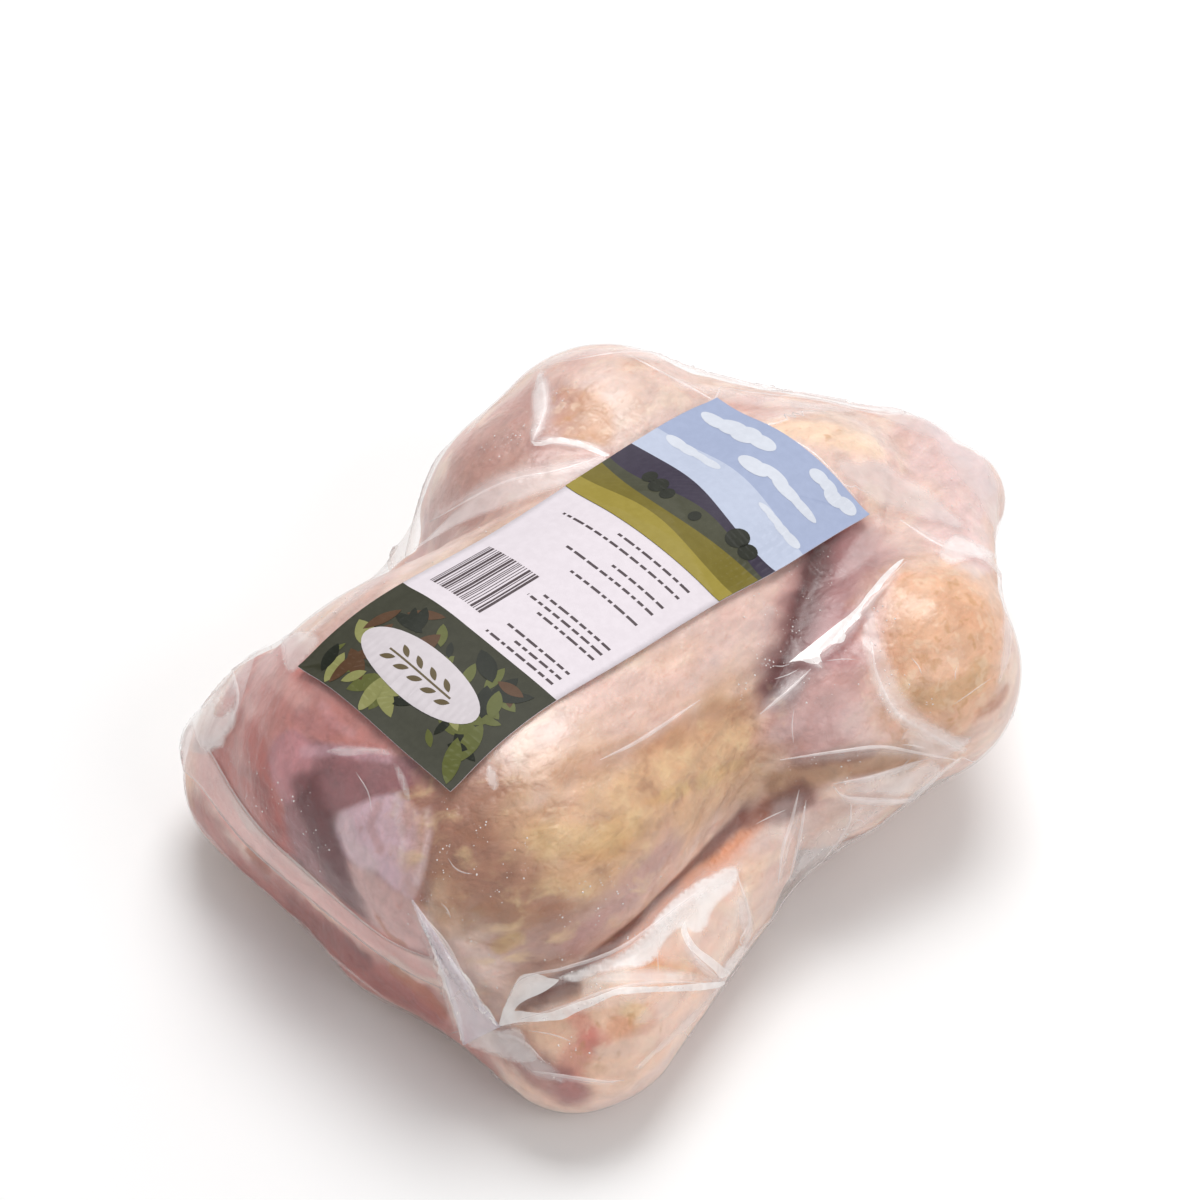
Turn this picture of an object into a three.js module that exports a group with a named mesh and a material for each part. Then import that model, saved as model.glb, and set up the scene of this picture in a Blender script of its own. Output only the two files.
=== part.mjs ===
// A whole raw chicken lying on its back in a taut clear bag, with a paper label over the breast.
// Lengths are in millimetres and angles in degrees. X runs from the neck end to the legs, Y from
// the near side to the far side, and Z is up from the surface that the bag lies on.
import * as THREE from "three";
import { mergeVertices } from "three/addons/utils/BufferGeometryUtils.js";

// The plump trunk: rounded masses, each a centre and its half-sizes.
const back = { centre: [11, 2, 38], radii: [88, 57, 44] };
const belly = { centre: [70, 3, 48], radii: [60, 44, 38] };

// The breast: a blunt front and a long crest on each side of the keel, splayed a little.
const breast = {
  front: { x: -46, z: 52, radii: [50, 46, 45], nearY: -18, farY: 25, splay: 8 },
  crest: { x: 4, z: 53, radii: [80, 42, 39], nearY: -12, farY: 21, splay: 6 },
  keelBlend: 8,
  sink: 3,
};

// Each leg is folded: thigh, bent knee, drumstick and the bare end of its bone.
const legs = [
  {
    thigh: { centre: [46, -44, 40], radii: [38, 35, 36], turn: 20 },
    knee: { centre: [73, -57, 47], radii: [29, 31, 32] },
    drumstick: { from: [77, -54, 49], to: [131, -20, 41], startRadius: 27, endRadius: 16 },
    boneEnd: { centre: [141, -21, 40], radii: [12, 13, 14] },
  },
  {
    thigh: { centre: [44, 56, 48], radii: [39, 37, 38] },
    knee: { centre: [70, 58, 54], radii: [33, 35, 33] },
    drumstick: { from: [76, 55, 52], to: [130, 6, 44], startRadius: 28, endRadius: 15 },
    boneEnd: { centre: [141, -4, 42], radii: [11, 13, 14] },
  },
];

// Each wing lies folded against the side: a lower and an upper length and the elbow.
const wings = [
  {
    lower: { from: [-61, -60, 24], to: [-8, -56, 22], startRadius: 24, endRadius: 17 },
    upper: { from: [-58, -62, 38], to: [2, -62, 36], startRadius: 13, endRadius: 10 },
    elbow: { centre: [-74, -59, 21], radii: [15, 18, 18] },
  },
  {
    lower: { from: [-58, 62, 28], to: [0, 64, 27], startRadius: 24, endRadius: 18 },
    upper: { from: [-56, 66, 44], to: [2, 66, 44], startRadius: 13, endRadius: 11 },
    elbow: { centre: [-66, 60, 28], radii: [20, 22, 24] },
  },
];

// The neck end: a roll of shoulder and neck skin from side to side.
const neckRolls = [
  { from: [-69, 60, 25], to: [-74, 0, 23], startRadius: 22, endRadius: 20 },
  { from: [-74, 0, 23], to: [-70, -48, 19], startRadius: 20, endRadius: 18 },
];
const farShoulder = { centre: [-62, 46, 38], radii: [28, 34, 32] };
const fleshBlend = 3;

// The bag: film close round the flesh, with its sealed edge across the neck end.
const filmClearance = 1;
const sealedEdge = [[-80, 78, 37], [-88, 58, 36], [-93, 28, 33], [-94, -4, 30], [-92, -32, 25], [-88, -58, 16]];
const sealedEdgeRadius = 2.5;
const gatheredCorner = { from: [-72, 72, 34], to: [-74, 70, 18], startRadius: 14, endRadius: 14 };
const filmSteps = 16;

// The bag's surface is found along rays that leave a spine inside the bird.
const spine = { centre: [30, 3, 42], halfLength: 62, halfWidth: 19, flatten: 0.85 };
const sphereDetail = 21;
const rayReach = 150;
const marchSteps = 70;
const marchPace = 0.8;

// The label lies over the breast, nearly along it.
const label = { length: 160, width: 61.5, middle: [10.6, 8.4], turn: -3.3, thickness: 0.5, gap: 0.5 };
const labelColumns = 32;
const labelRows = 12;

const filmMaterial = new THREE.MeshStandardMaterial({ color: 0xe0bcae, roughness: 0.22, metalness: 0 });
const paperMaterial = new THREE.MeshStandardMaterial({ color: 0xdfd3d8, roughness: 0.35, metalness: 0 });

const radians = THREE.MathUtils.degToRad;

// Distance from a point to an ellipsoid turned about the upright axis.
function toEllipsoid(point, { centre, radii, turn = 0 }) {
  const cos = Math.cos(radians(turn));
  const sin = Math.sin(radians(turn));
  const dx = point.x - centre[0];
  const dy = point.y - centre[1];
  const local = new THREE.Vector3(dx * cos + dy * sin, dy * cos - dx * sin, point.z - centre[2]);
  const size = new THREE.Vector3(...radii);
  const scaled = local.divide(size);
  const reach = scaled.length();
  const slope = scaled.divide(size).length();
  return reach * (reach - 1) / Math.max(slope, 1e-9);
}

// Distance from a point to a rounded length that changes radius evenly.
function toLength(point, { from, to, startRadius, endRadius }) {
  const start = new THREE.Vector3(...from);
  const run = new THREE.Vector3(...to).sub(start);
  const offset = point.clone().sub(start);
  const share = THREE.MathUtils.clamp(offset.dot(run) / run.lengthSq(), 0, 1);
  const radius = startRadius + (endRadius - startRadius) * share;
  return offset.addScaledVector(run, -share).length() - radius;
}

// The nearest of several distances, rounded where two forms meet.
function smoothNearest(distances, blend) {
  const nearest = Math.min(...distances);
  const total = distances.reduce((sum, distance) => sum + Math.exp((nearest - distance) / blend), 0);
  return nearest - blend * Math.log(total);
}

function toBreast(point) {
  const distances = [];
  for (const { x, z, radii, nearY, farY, splay } of [breast.front, breast.crest]) {
    distances.push(toEllipsoid(point, { centre: [x, nearY, z], radii, turn: splay }));
    distances.push(toEllipsoid(point, { centre: [x, farY, z], radii, turn: -splay }));
  }
  return smoothNearest(distances, breast.keelBlend) + breast.sink;
}

function toBird(point) {
  const distances = [toEllipsoid(point, back), toEllipsoid(point, belly), toBreast(point)];
  for (const { thigh, knee, drumstick, boneEnd } of legs) {
    distances.push(toEllipsoid(point, thigh), toEllipsoid(point, knee));
    distances.push(toLength(point, drumstick), toEllipsoid(point, boneEnd));
  }
  for (const { lower, upper, elbow } of wings) {
    distances.push(toLength(point, lower), toLength(point, upper), toEllipsoid(point, elbow));
  }
  distances.push(...neckRolls.map((roll) => toLength(point, roll)), toEllipsoid(point, farShoulder));
  return smoothNearest(distances, fleshBlend);
}

function toBagContents(point) {
  const distances = [toBird(point) - filmClearance, toLength(point, gatheredCorner)];
  for (let i = 1; i < sealedEdge.length; i += 1) {
    const stretch = { from: sealedEdge[i - 1], to: sealedEdge[i] };
    distances.push(toLength(point, { ...stretch, startRadius: sealedEdgeRadius, endRadius: sealedEdgeRadius }));
  }
  return Math.min(...distances);
}

// One ray for each corner of an evenly divided sphere.
function makeRays(sphere) {
  const [x, y, z] = spine.centre;
  const corners = sphere.getAttribute("position");
  const rays = [];
  for (let i = 0; i < corners.count; i += 1) {
    const aim = new THREE.Vector3().fromBufferAttribute(corners, i).normalize();
    const origin = new THREE.Vector3(x + spine.halfLength * aim.x, y + spine.halfWidth * aim.y, z);
    const direction = new THREE.Vector3(aim.x, aim.y, aim.z * spine.flatten).normalize();
    const toFloor = direction.z < 0 ? -origin.z / direction.z : Infinity;
    rays.push({ origin, direction, toFloor });
  }
  return rays;
}

function pointOn({ origin, direction }, travel) {
  return origin.clone().addScaledVector(direction, travel);
}

// The contents' surface: each ray is followed inwards from outside until it meets a form.
function meetContents(ray) {
  let travel = rayReach;
  for (let step = 0; step < marchSteps; step += 1) {
    travel -= marchPace * toBagContents(pointOn(ray, travel));
  }
  return Math.min(travel, ray.toFloor);
}

function findNeighbours(sphere) {
  const neighbours = Array.from({ length: sphere.getAttribute("position").count }, () => new Set());
  const corners = sphere.getIndex();
  for (let i = 0; i < corners.count; i += 3) {
    for (let side = 0; side < 3; side += 1) {
      const a = corners.getX(i + side);
      const b = corners.getX(i + (side + 1) % 3);
      neighbours[a].add(b);
      neighbours[b].add(a);
    }
  }
  return neighbours.map((set) => [...set]);
}

// Film pulled taut: each point moves to its neighbours' mean, but never into the contents or the floor.
function pullTaut(rays, contents, neighbours) {
  let travels = contents;
  for (let step = 0; step < filmSteps; step += 1) {
    const points = rays.map((ray, i) => pointOn(ray, travels[i]));
    travels = rays.map(({ origin, direction, toFloor }, i) => {
      const mean = new THREE.Vector3();
      neighbours[i].forEach((j) => mean.add(points[j]));
      const pulled = mean.divideScalar(neighbours[i].length).sub(origin).dot(direction);
      return Math.min(Math.max(pulled, contents[i]), toFloor);
    });
  }
  return travels;
}

function makeBag() {
  const sphere = new THREE.IcosahedronGeometry(1, sphereDetail);
  sphere.deleteAttribute("normal");
  sphere.deleteAttribute("uv");
  const bag = mergeVertices(sphere);
  const rays = makeRays(bag);
  const travels = pullTaut(rays, rays.map(meetContents), findNeighbours(bag));
  const corners = bag.getAttribute("position");
  rays.forEach((ray, i) => {
    const { x, y, z } = pointOn(ray, travels[i]);
    corners.setXYZ(i, x, y, travels[i] === ray.toFloor ? 0 : z);
  });
  bag.computeVertexNormals();
  return bag;
}

// Heights of the bag under a grid of points, read by looking straight down.
function heightsUnder(bag, points) {
  const surface = new THREE.Mesh(bag, filmMaterial);
  const down = new THREE.Vector3(0, 0, -1);
  const looker = new THREE.Raycaster();
  return points.map(([x, y]) => {
    looker.set(new THREE.Vector3(x, y, rayReach), down);
    return looker.intersectObject(surface)[0].point.z;
  });
}

// The label: a sheet over the bag, with both faces and all four edges closed.
function makeLabel(bag) {
  const cos = Math.cos(radians(label.turn));
  const sin = Math.sin(radians(label.turn));
  const across = labelRows + 1;
  const points = [];
  for (let i = 0; i <= labelColumns; i += 1) {
    for (let j = 0; j <= labelRows; j += 1) {
      const along = (i / labelColumns - 0.5) * label.length;
      const aside = (j / labelRows - 0.5) * label.width;
      points.push([
        label.middle[0] + along * cos - aside * sin,
        label.middle[1] + along * sin + aside * cos,
      ]);
    }
  }
  const heights = heightsUnder(bag, points);
  const under = points.flatMap(([x, y], i) => [x, y, heights[i] + label.gap]);
  const over = points.flatMap(([x, y], i) => [x, y, heights[i] + label.gap + label.thickness]);
  const lift = points.length;
  const faces = [];
  const addQuad = (a, b, c, d) => faces.push(a, b, c, a, c, d);
  for (let i = 0; i < labelColumns; i += 1) {
    for (let j = 0; j < labelRows; j += 1) {
      const corner = i * across + j;
      const quad = [corner, corner + across, corner + across + 1, corner + 1];
      addQuad(...quad.map((index) => index + lift));
      addQuad(...quad.reverse());
    }
  }
  const addEdge = (a, b) => addQuad(a, b, b + lift, a + lift);
  for (let i = 0; i < labelColumns; i += 1) {
    addEdge(i * across, (i + 1) * across);
    addEdge((i + 1) * across + labelRows, i * across + labelRows);
  }
  for (let j = 0; j < labelRows; j += 1) {
    addEdge(j + 1, j);
    addEdge(labelColumns * across + j, labelColumns * across + j + 1);
  }
  const sheet = new THREE.BufferGeometry();
  sheet.setAttribute("position", new THREE.Float32BufferAttribute([...under, ...over], 3));
  sheet.setIndex(faces);
  sheet.computeVertexNormals();
  return sheet;
}

// Both pieces move together so that the origin is under the middle of the bag.
const bagGeometry = makeBag();
const labelGeometry = makeLabel(bagGeometry);
bagGeometry.computeBoundingBox();
const middle = bagGeometry.boundingBox.getCenter(new THREE.Vector3());

const chicken = new THREE.Group();
for (const [name, geometry, material] of [
  ["bagged_chicken", bagGeometry, filmMaterial],
  ["label", labelGeometry, paperMaterial],
]) {
  const piece = new THREE.Mesh(geometry, material);
  piece.name = name;
  piece.position.set(-middle.x, -middle.y, 0);
  chicken.add(piece);
}

export default chicken;
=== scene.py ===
import math
import random
import bpy
import bmesh
import numpy as np
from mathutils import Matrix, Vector, noise
from mathutils.bvhtree import BVHTree


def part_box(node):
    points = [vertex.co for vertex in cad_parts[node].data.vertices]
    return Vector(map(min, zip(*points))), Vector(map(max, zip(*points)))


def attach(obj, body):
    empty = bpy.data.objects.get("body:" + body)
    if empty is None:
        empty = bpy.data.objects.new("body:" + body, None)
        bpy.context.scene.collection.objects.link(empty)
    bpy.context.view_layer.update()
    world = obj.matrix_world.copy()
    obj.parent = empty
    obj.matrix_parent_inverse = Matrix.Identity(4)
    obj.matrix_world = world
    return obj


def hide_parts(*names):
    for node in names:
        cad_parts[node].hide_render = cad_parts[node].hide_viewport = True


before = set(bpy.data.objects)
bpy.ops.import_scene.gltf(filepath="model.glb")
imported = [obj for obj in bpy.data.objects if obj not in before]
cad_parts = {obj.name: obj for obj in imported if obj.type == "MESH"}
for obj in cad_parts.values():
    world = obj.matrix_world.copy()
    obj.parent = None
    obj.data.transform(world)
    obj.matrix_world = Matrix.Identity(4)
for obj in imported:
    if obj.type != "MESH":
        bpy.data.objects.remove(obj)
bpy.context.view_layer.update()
bagLow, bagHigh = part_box("bagged_chicken")
mm = 0.001


# Long tables are rows of a name, the values that the heading names and, after the colon, a route or an outline.
# An indented line goes on with the row above. Pictured routes are in pixels, hidden ones in millimetres.
def readRoute(text):
    return [tuple(float(number) for number in spot.split(",")) for spot in text.split()]


def readTable(heading, text):
    table = {}
    for row in text.strip().replace("\n    ", " ").split("\n"):
        figures, route = row.split(":")
        name, *cells = figures.split()
        values = [cell if cell[0].isalpha() else float(cell) for cell in cells]
        table[name] = dict(zip(heading.split(), values), route=readRoute(route))
    return table


def readRoutes(*texts):
    return [readRoute(text) for text in texts]


# The bird is laid out in millimetres, X from neck end to legs, Y from the near side to the far side, Z up.
birdForms = {
    "back": dict(centre=(11, 2, 38), radii=(88, 57, 44)),
    "belly": dict(centre=(70, 3, 48), radii=(60, 44, 38)),
    "nearThigh": dict(centre=(46, -44, 40), radii=(38, 35, 36), turn=20),
    "nearKnee": dict(centre=(73, -57, 47), radii=(29, 31, 32)),
    "nearDrumstick": dict(start=(77, -54, 49), end=(131, -20, 41), startRadius=27, endRadius=16),
    "nearBoneEnd": dict(centre=(141, -21, 40), radii=(12, 13, 14)),
    "farThigh": dict(centre=(44, 56, 48), radii=(39, 37, 38)),
    "farKnee": dict(centre=(70, 58, 54), radii=(33, 35, 33)),
    "farDrumstick": dict(start=(76, 55, 52), end=(130, 6, 44), startRadius=28, endRadius=15),
    "farBoneEnd": dict(centre=(141, -4, 42), radii=(11, 13, 14)),
    "nearWingLower": dict(start=(-61, -60, 24), end=(-8, -56, 22), startRadius=24, endRadius=17),
    "nearWingUpper": dict(start=(-58, -62, 38), end=(2, -62, 36), startRadius=13, endRadius=10),
    "nearElbow": dict(centre=(-74, -59, 21), radii=(15, 18, 18)),
    "farWingLower": dict(start=(-58, 62, 28), end=(0, 64, 27), startRadius=24, endRadius=18),
    "farWingUpper": dict(start=(-56, 66, 44), end=(2, 66, 44), startRadius=13, endRadius=11),
    "farElbow": dict(centre=(-66, 60, 28), radii=(20, 22, 24)),
    "neckRollFar": dict(start=(-69, 60, 25), end=(-74, 0, 23), startRadius=22, endRadius=20),
    "neckRollNear": dict(start=(-74, 0, 23), end=(-70, -48, 19), startRadius=20, endRadius=18),
    "farShoulder": dict(centre=(-62, 46, 38), radii=(28, 34, 32)),
}
breastForms = {
    "frontNear": dict(centre=(-46, -18, 52), radii=(50, 46, 45), turn=8),
    "frontFar": dict(centre=(-46, 25, 52), radii=(50, 46, 45), turn=-8),
    "crestNear": dict(centre=(4, -12, 53), radii=(80, 42, 39), turn=6),
    "crestFar": dict(centre=(4, 21, 53), radii=(80, 42, 39), turn=-6),
}
breastFit = {"keelBlend": 8, "sink": 3}
fleshBlend = 3
spine = {"centre": (30, 3, 42), "halfLength": 62, "halfWidth": 19, "flatten": 0.85}
casting = {
    "divisions": 24, "doublings": 2, "reach": 150, "firstSteps": 45, "laterSteps": 8, "pace": 0.8,
    "restart": 1.5,  # how far outside the last level's result the next one starts
}


def toEllipsoid(p, centre, radii, turn=0):
    cos, sin = math.cos(math.radians(turn)), math.sin(math.radians(turn))
    q = p - np.array(centre, float)
    local = np.stack([q[:, 0] * cos + q[:, 1] * sin, q[:, 1] * cos - q[:, 0] * sin, q[:, 2]], 1)
    scaled = local / np.array(radii, float)
    reach = np.linalg.norm(scaled, axis=1)
    slope = np.linalg.norm(scaled / np.array(radii, float), axis=1)
    return reach * (reach - 1) / np.maximum(slope, 1e-9)


def toLength(p, start, end, startRadius, endRadius):
    a, run = np.array(start, float), np.subtract(end, start).astype(float)
    share = np.clip((p - a) @ run / (run @ run), 0, 1)
    radius = startRadius + (endRadius - startRadius) * share
    return np.linalg.norm(p - a - share[:, None] * run, axis=1) - radius


def smoothNearest(distances, blend):
    stack = np.array(distances)
    nearest = stack.min(0)
    return nearest - blend * np.log(np.exp((nearest - stack) / blend).sum(0))


def toForm(p, form):
    return toEllipsoid(p, **form) if "radii" in form else toLength(p, **form)


def toBird(p):
    breast = smoothNearest([toForm(p, form) for form in breastForms.values()], breastFit["keelBlend"])
    distances = [toForm(p, form) for form in birdForms.values()]
    return smoothNearest(distances + [breast + breastFit["sink"]], fleshBlend)


# An evenly divided sphere of directions, doubled twice, carries both the bird and its bag.
def makeSphere(divisions):
    golden = (1 + 5 ** 0.5) / 2
    ring = [(-1, golden, 0), (1, golden, 0), (-1, -golden, 0), (1, -golden, 0)]
    corners = np.array(ring + [(z, x, y) for x, y, z in ring] + [(y, z, x) for x, y, z in ring], float)
    corners /= np.linalg.norm(corners[0])
    gap = np.linalg.norm(corners[:, None] - corners[None], axis=2)
    edge = gap[gap > 0.1].min() * 1.01
    triangles = []
    for a in range(12):
        for b in range(a + 1, 12):
            for c in range(b + 1, 12):
                if max(gap[a, b], gap[b, c], gap[a, c]) < edge:
                    outward = np.cross(corners[b] - corners[a], corners[c] - corners[a]) @ corners[a] > 0
                    triangles.append((a, b, c) if outward else (a, c, b))
    points, faces, seen = [], [], {}

    def numberOf(point):
        key = tuple(np.round(point, 6) + 0.0)
        if key not in seen:
            seen[key] = len(points)
            points.append(point)
        return seen[key]

    for a, b, c in triangles:
        grid = {}
        for i in range(divisions + 1):
            for j in range(divisions + 1 - i):
                flat = corners[a] * (divisions - i - j) + corners[b] * i + corners[c] * j
                grid[i, j] = numberOf(flat / np.linalg.norm(flat))
        for i in range(divisions):
            for j in range(divisions - i):
                faces.append((grid[i, j], grid[i + 1, j], grid[i, j + 1]))
                if i + j < divisions - 1:
                    faces.append((grid[i + 1, j], grid[i + 1, j + 1], grid[i, j + 1]))
    return np.array(points), np.array(faces)


def findEdges(faces):
    sides = np.concatenate([faces[:, [0, 1]], faces[:, [1, 2]], faces[:, [2, 0]]])
    return np.unique(np.sort(sides, axis=1), axis=0, return_inverse=True)


def doubleSphere(aims, faces):
    edges, where = findEdges(faces)
    ab, bc, ca = np.split(where.reshape(-1) + len(aims), 3)
    a, b, c = faces.T
    quarters = [(a, ab, ca), (ab, b, bc), (ca, bc, c), (ab, bc, ca)]
    middles = aims[edges].mean(1)
    middles /= np.linalg.norm(middles, axis=1)[:, None]
    return np.concatenate([aims, middles]), np.concatenate([np.stack(q, 1) for q in quarters]), edges


class Rays:
    def __init__(self, aims):
        x, y, z = spine["centre"]
        halfLength, halfWidth = spine["halfLength"], spine["halfWidth"]
        flat = np.full(len(aims), float(z))
        self.origin = np.stack([x + halfLength * aims[:, 0], y + halfWidth * aims[:, 1], flat], 1)
        direction = aims * np.array([1, 1, spine["flatten"]])
        self.direction = direction / np.linalg.norm(direction, axis=1)[:, None]
        downward = np.minimum(self.direction[:, 2], -1e-9)
        self.toFloor = np.where(self.direction[:, 2] < -1e-6, -z / downward, 1e9)

    def at(self, travel):
        return self.origin + self.direction * travel[:, None]

    def march(self, travel, field, steps):
        for _ in range(steps):
            travel = travel - casting["pace"] * field(self.at(travel))
        return travel


def pullTaut(rays, travel, least, most, edges, steps):
    count = len(travel)
    ends = np.concatenate([edges, edges[:, ::-1]])
    degree = np.bincount(ends[:, 0], minlength=count)
    for _ in range(steps):
        points = rays.at(travel)
        sums = [np.bincount(ends[:, 0], weights=points[ends[:, 1], k], minlength=count) for k in range(3)]
        mean = np.stack(sums, 1) / degree[:, None]
        pulled = ((mean - rays.origin) * rays.direction).sum(1)
        travel = np.minimum(np.maximum(pulled, least), most)
    return travel


# The bag's own forms: the sealed edge over the neck end and the corner where film is gathered.
bagForms = {
    "clearance": 1.0,
    "sealedEdge": readRoute("-80,78,37 -88,58,36 -93,28,33 -94,-4,30 -92,-32,25 -88,-58,16"),
    "sealedEdgeRadius": 2.5,
    "gatheredCorner": dict(start=(-72, 72, 34), end=(-74, 70, 18), startRadius=14, endRadius=14),
    "pulls": (19, 10, 8),  # rounds of pulling taut at each level of the sphere
}


def toBagContents(p):
    distances = [toBird(p) - bagForms["clearance"], toLength(p, **bagForms["gatheredCorner"])]
    route, radius = bagForms["sealedEdge"], bagForms["sealedEdgeRadius"]
    for start, end in zip(route, route[1:]):
        distances.append(toLength(p, start, end, radius, radius))
    return np.min(distances, axis=0)


def castBirdAndBag():
    aims, faces = makeSphere(casting["divisions"])
    rays = Rays(aims)
    start = np.full(len(aims), float(casting["reach"]))
    skin = rays.march(start, toBird, casting["firstSteps"])
    film = np.minimum(rays.march(start, toBagContents, casting["firstSteps"]), rays.toFloor)
    film = pullTaut(rays, film, film, rays.toFloor, findEdges(faces)[0], bagForms["pulls"][0])
    restart, steps = casting["restart"], casting["laterSteps"]
    for pulls in bagForms["pulls"][1:casting["doublings"] + 1]:
        aims, faces, parents = doubleSphere(aims, faces)
        rays = Rays(aims)
        skin = np.concatenate([skin, skin[parents].mean(1)])
        film = np.concatenate([film, film[parents].mean(1)])
        skin = rays.march(skin + restart, toBird, steps)
        inside = np.minimum(rays.march(film + restart, toBagContents, steps), rays.toFloor)
        film = np.maximum(np.minimum(film, rays.toFloor), inside)
        film = pullTaut(rays, film, inside, rays.toFloor, findEdges(faces)[0], pulls)
    return rays, faces, skin, film


rays, sphereFaces, skinTravel, filmTravel = castBirdAndBag()
filmBase = rays.at(filmTravel)
shift = np.array((bagLow + bagHigh) / 2) / mm - (filmBase.min(0) + filmBase.max(0)) / 2
shift[2] = 0
print("bird and bag cast:", len(filmBase), "points,", len(sphereFaces), "faces")


# The camera stands where the photograph was taken from, and a pixel of it can be cast onto a surface.
viewpoint = {
    "azimuth": -47, "elevation": 49, "distance": 950, "lens": 100, "sensor": 36, "aim": (23.3, 17.1, 61.7),
    "pictureSize": 1200, "bagMiddle": (610, 700), "slide": 0.004,
}
azimuth, elevation = math.radians(viewpoint["azimuth"]), math.radians(viewpoint["elevation"])
viewBack = np.array([
    math.sin(azimuth) * math.cos(elevation),
    -math.cos(azimuth) * math.cos(elevation),
    math.sin(elevation),
])
viewRight = np.array([math.cos(azimuth), math.sin(azimuth), 0])
viewUp = np.cross(viewBack, viewRight)
viewOrigin = np.array(viewpoint["aim"]) + viewBack * viewpoint["distance"]
pixelsAway = viewpoint["lens"] / viewpoint["sensor"] * viewpoint["pictureSize"]
pictureHalf = viewpoint["pictureSize"] / 2


def addObject(name, data):
    made = bpy.data.objects.new(name, data)
    bpy.context.scene.collection.objects.link(made)
    return made


def addCamera():
    data = bpy.data.cameras.new("photo_view")
    data.lens = viewpoint["lens"]
    data.sensor_width = viewpoint["sensor"]
    camera = addObject("photo_view", data)
    camera.location = Vector((viewOrigin + shift) * mm)
    camera.rotation_mode = "QUATERNION"
    camera.rotation_quaternion = Vector(-viewBack).to_track_quat("-Z", "Y")
    bpy.context.scene.camera = camera


addCamera()


class Surface:
    def __init__(self, points, faces):
        self.tree = BVHTree.FromPolygons([Vector(p) for p in points], faces.tolist())

    def under(self, px, py):
        aim = -viewBack + viewRight * (px - pictureHalf) / pixelsAway - viewUp * (py - pictureHalf) / pixelsAway
        return self.tree.ray_cast(Vector(viewOrigin), Vector(aim).normalized())[:2]

    # A pixel just beside the bag slides in towards its middle until it meets it.
    def underNear(self, px, py):
        place, normal = self.under(px, py)
        while place is None:
            px += (viewpoint["bagMiddle"][0] - px) * viewpoint["slide"]
            py += (viewpoint["bagMiddle"][1] - py) * viewpoint["slide"]
            place, normal = self.under(px, py)
        return np.array(place), np.array(normal)

    def below(self, x, y):
        return self.tree.ray_cast(Vector((x, y, 300)), Vector((0, 0, -1)))[:2]

    def nearest(self, point):
        return self.tree.find_nearest(Vector(point))[:2]


# A smooth route through a few points, cut into short steps.
def smoothRoute(route, spacing):
    knots = np.array(route, float)
    padded = np.concatenate([[2 * knots[0] - knots[1]], knots, [2 * knots[-1] - knots[-2]]])
    made = []
    for i in range(1, len(knots)):
        p0, p1, p2, p3 = padded[i - 1:i + 3]
        pieces = max(1, int(np.linalg.norm(p2 - p1) / spacing))
        for step in range(pieces):
            t = step / pieces
            bend = 2 * p0 - 5 * p1 + 4 * p2 - p3
            turn = 3 * p1 - p0 - 3 * p2 + p3
            made.append(0.5 * (2 * p1 + (p2 - p0) * t + bend * t * t + turn * t ** 3))
    made.append(knots[-1])
    return np.array(made)


def castRoute(surface, pixels, spacing=6):
    return np.array([surface.underNear(px, py)[0] for px, py in smoothRoute(pixels, spacing)])


def snapRoute(surface, places, spacing=4):
    return np.array([surface.nearest(place)[0] for place in smoothRoute(places, spacing)])


# Where points stand in the picture.
def pictured(points):
    away = points - viewOrigin
    depth = -(away @ viewBack)
    return (pictureHalf + away @ viewRight / depth * pixelsAway,
            pictureHalf - away @ viewUp / depth * pixelsAway)


# How far inside a closed outline places of a plane lie; outside it the figure is negative.
def insideBy(x, y, outline):
    nearest, inside = np.full(len(x), 1e9), np.zeros(len(x), bool)
    corners = np.array(outline, float)
    for (ax, ay), (bx, by) in zip(corners, np.roll(corners, -1, axis=0)):
        runX, runY = bx - ax, by - ay
        share = np.clip(((x - ax) * runX + (y - ay) * runY) / max(runX ** 2 + runY ** 2, 1e-9), 0, 1)
        nearest = np.minimum(nearest, np.hypot(x - ax - share * runX, y - ay - share * runY))
        if ay != by:
            inside ^= ((ay > y) != (by > y)) & (x < ax + (y - ay) / (by - ay) * runX)
    return np.where(inside, nearest, -nearest)


def smoothOutline(outline, spacing=4):
    return smoothRoute(list(outline) + [outline[0]], spacing)[:-1]


# The same for points of a surface that show in the picture near an outline. The rays run beside the points,
# because a ray through a corner of the mesh can miss it.
areaTest = {"margin": 14, "rays": ((0.9, 0.5), (-0.7, 0.8)), "apart": 3}


def insideArea(surface, points, outline):
    x, y = pictured(points)
    low, high = np.min(outline, axis=0) - areaTest["margin"], np.max(outline, axis=0) + areaTest["margin"]
    depth = np.full(len(points), -1e9)
    for k in np.flatnonzero((x > low[0]) & (x < high[0]) & (y > low[1]) & (y < high[1])):
        for right, down in areaTest["rays"]:
            place = surface.under(x[k] + right, y[k] + down)[0]
            if place is not None and np.linalg.norm(np.array(place) - points[k]) < areaTest["apart"]:
                depth[k] = 0
    near = np.flatnonzero(depth == 0)
    depth[near] = insideBy(x[near], y[near], smoothOutline(outline))
    return depth


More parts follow.
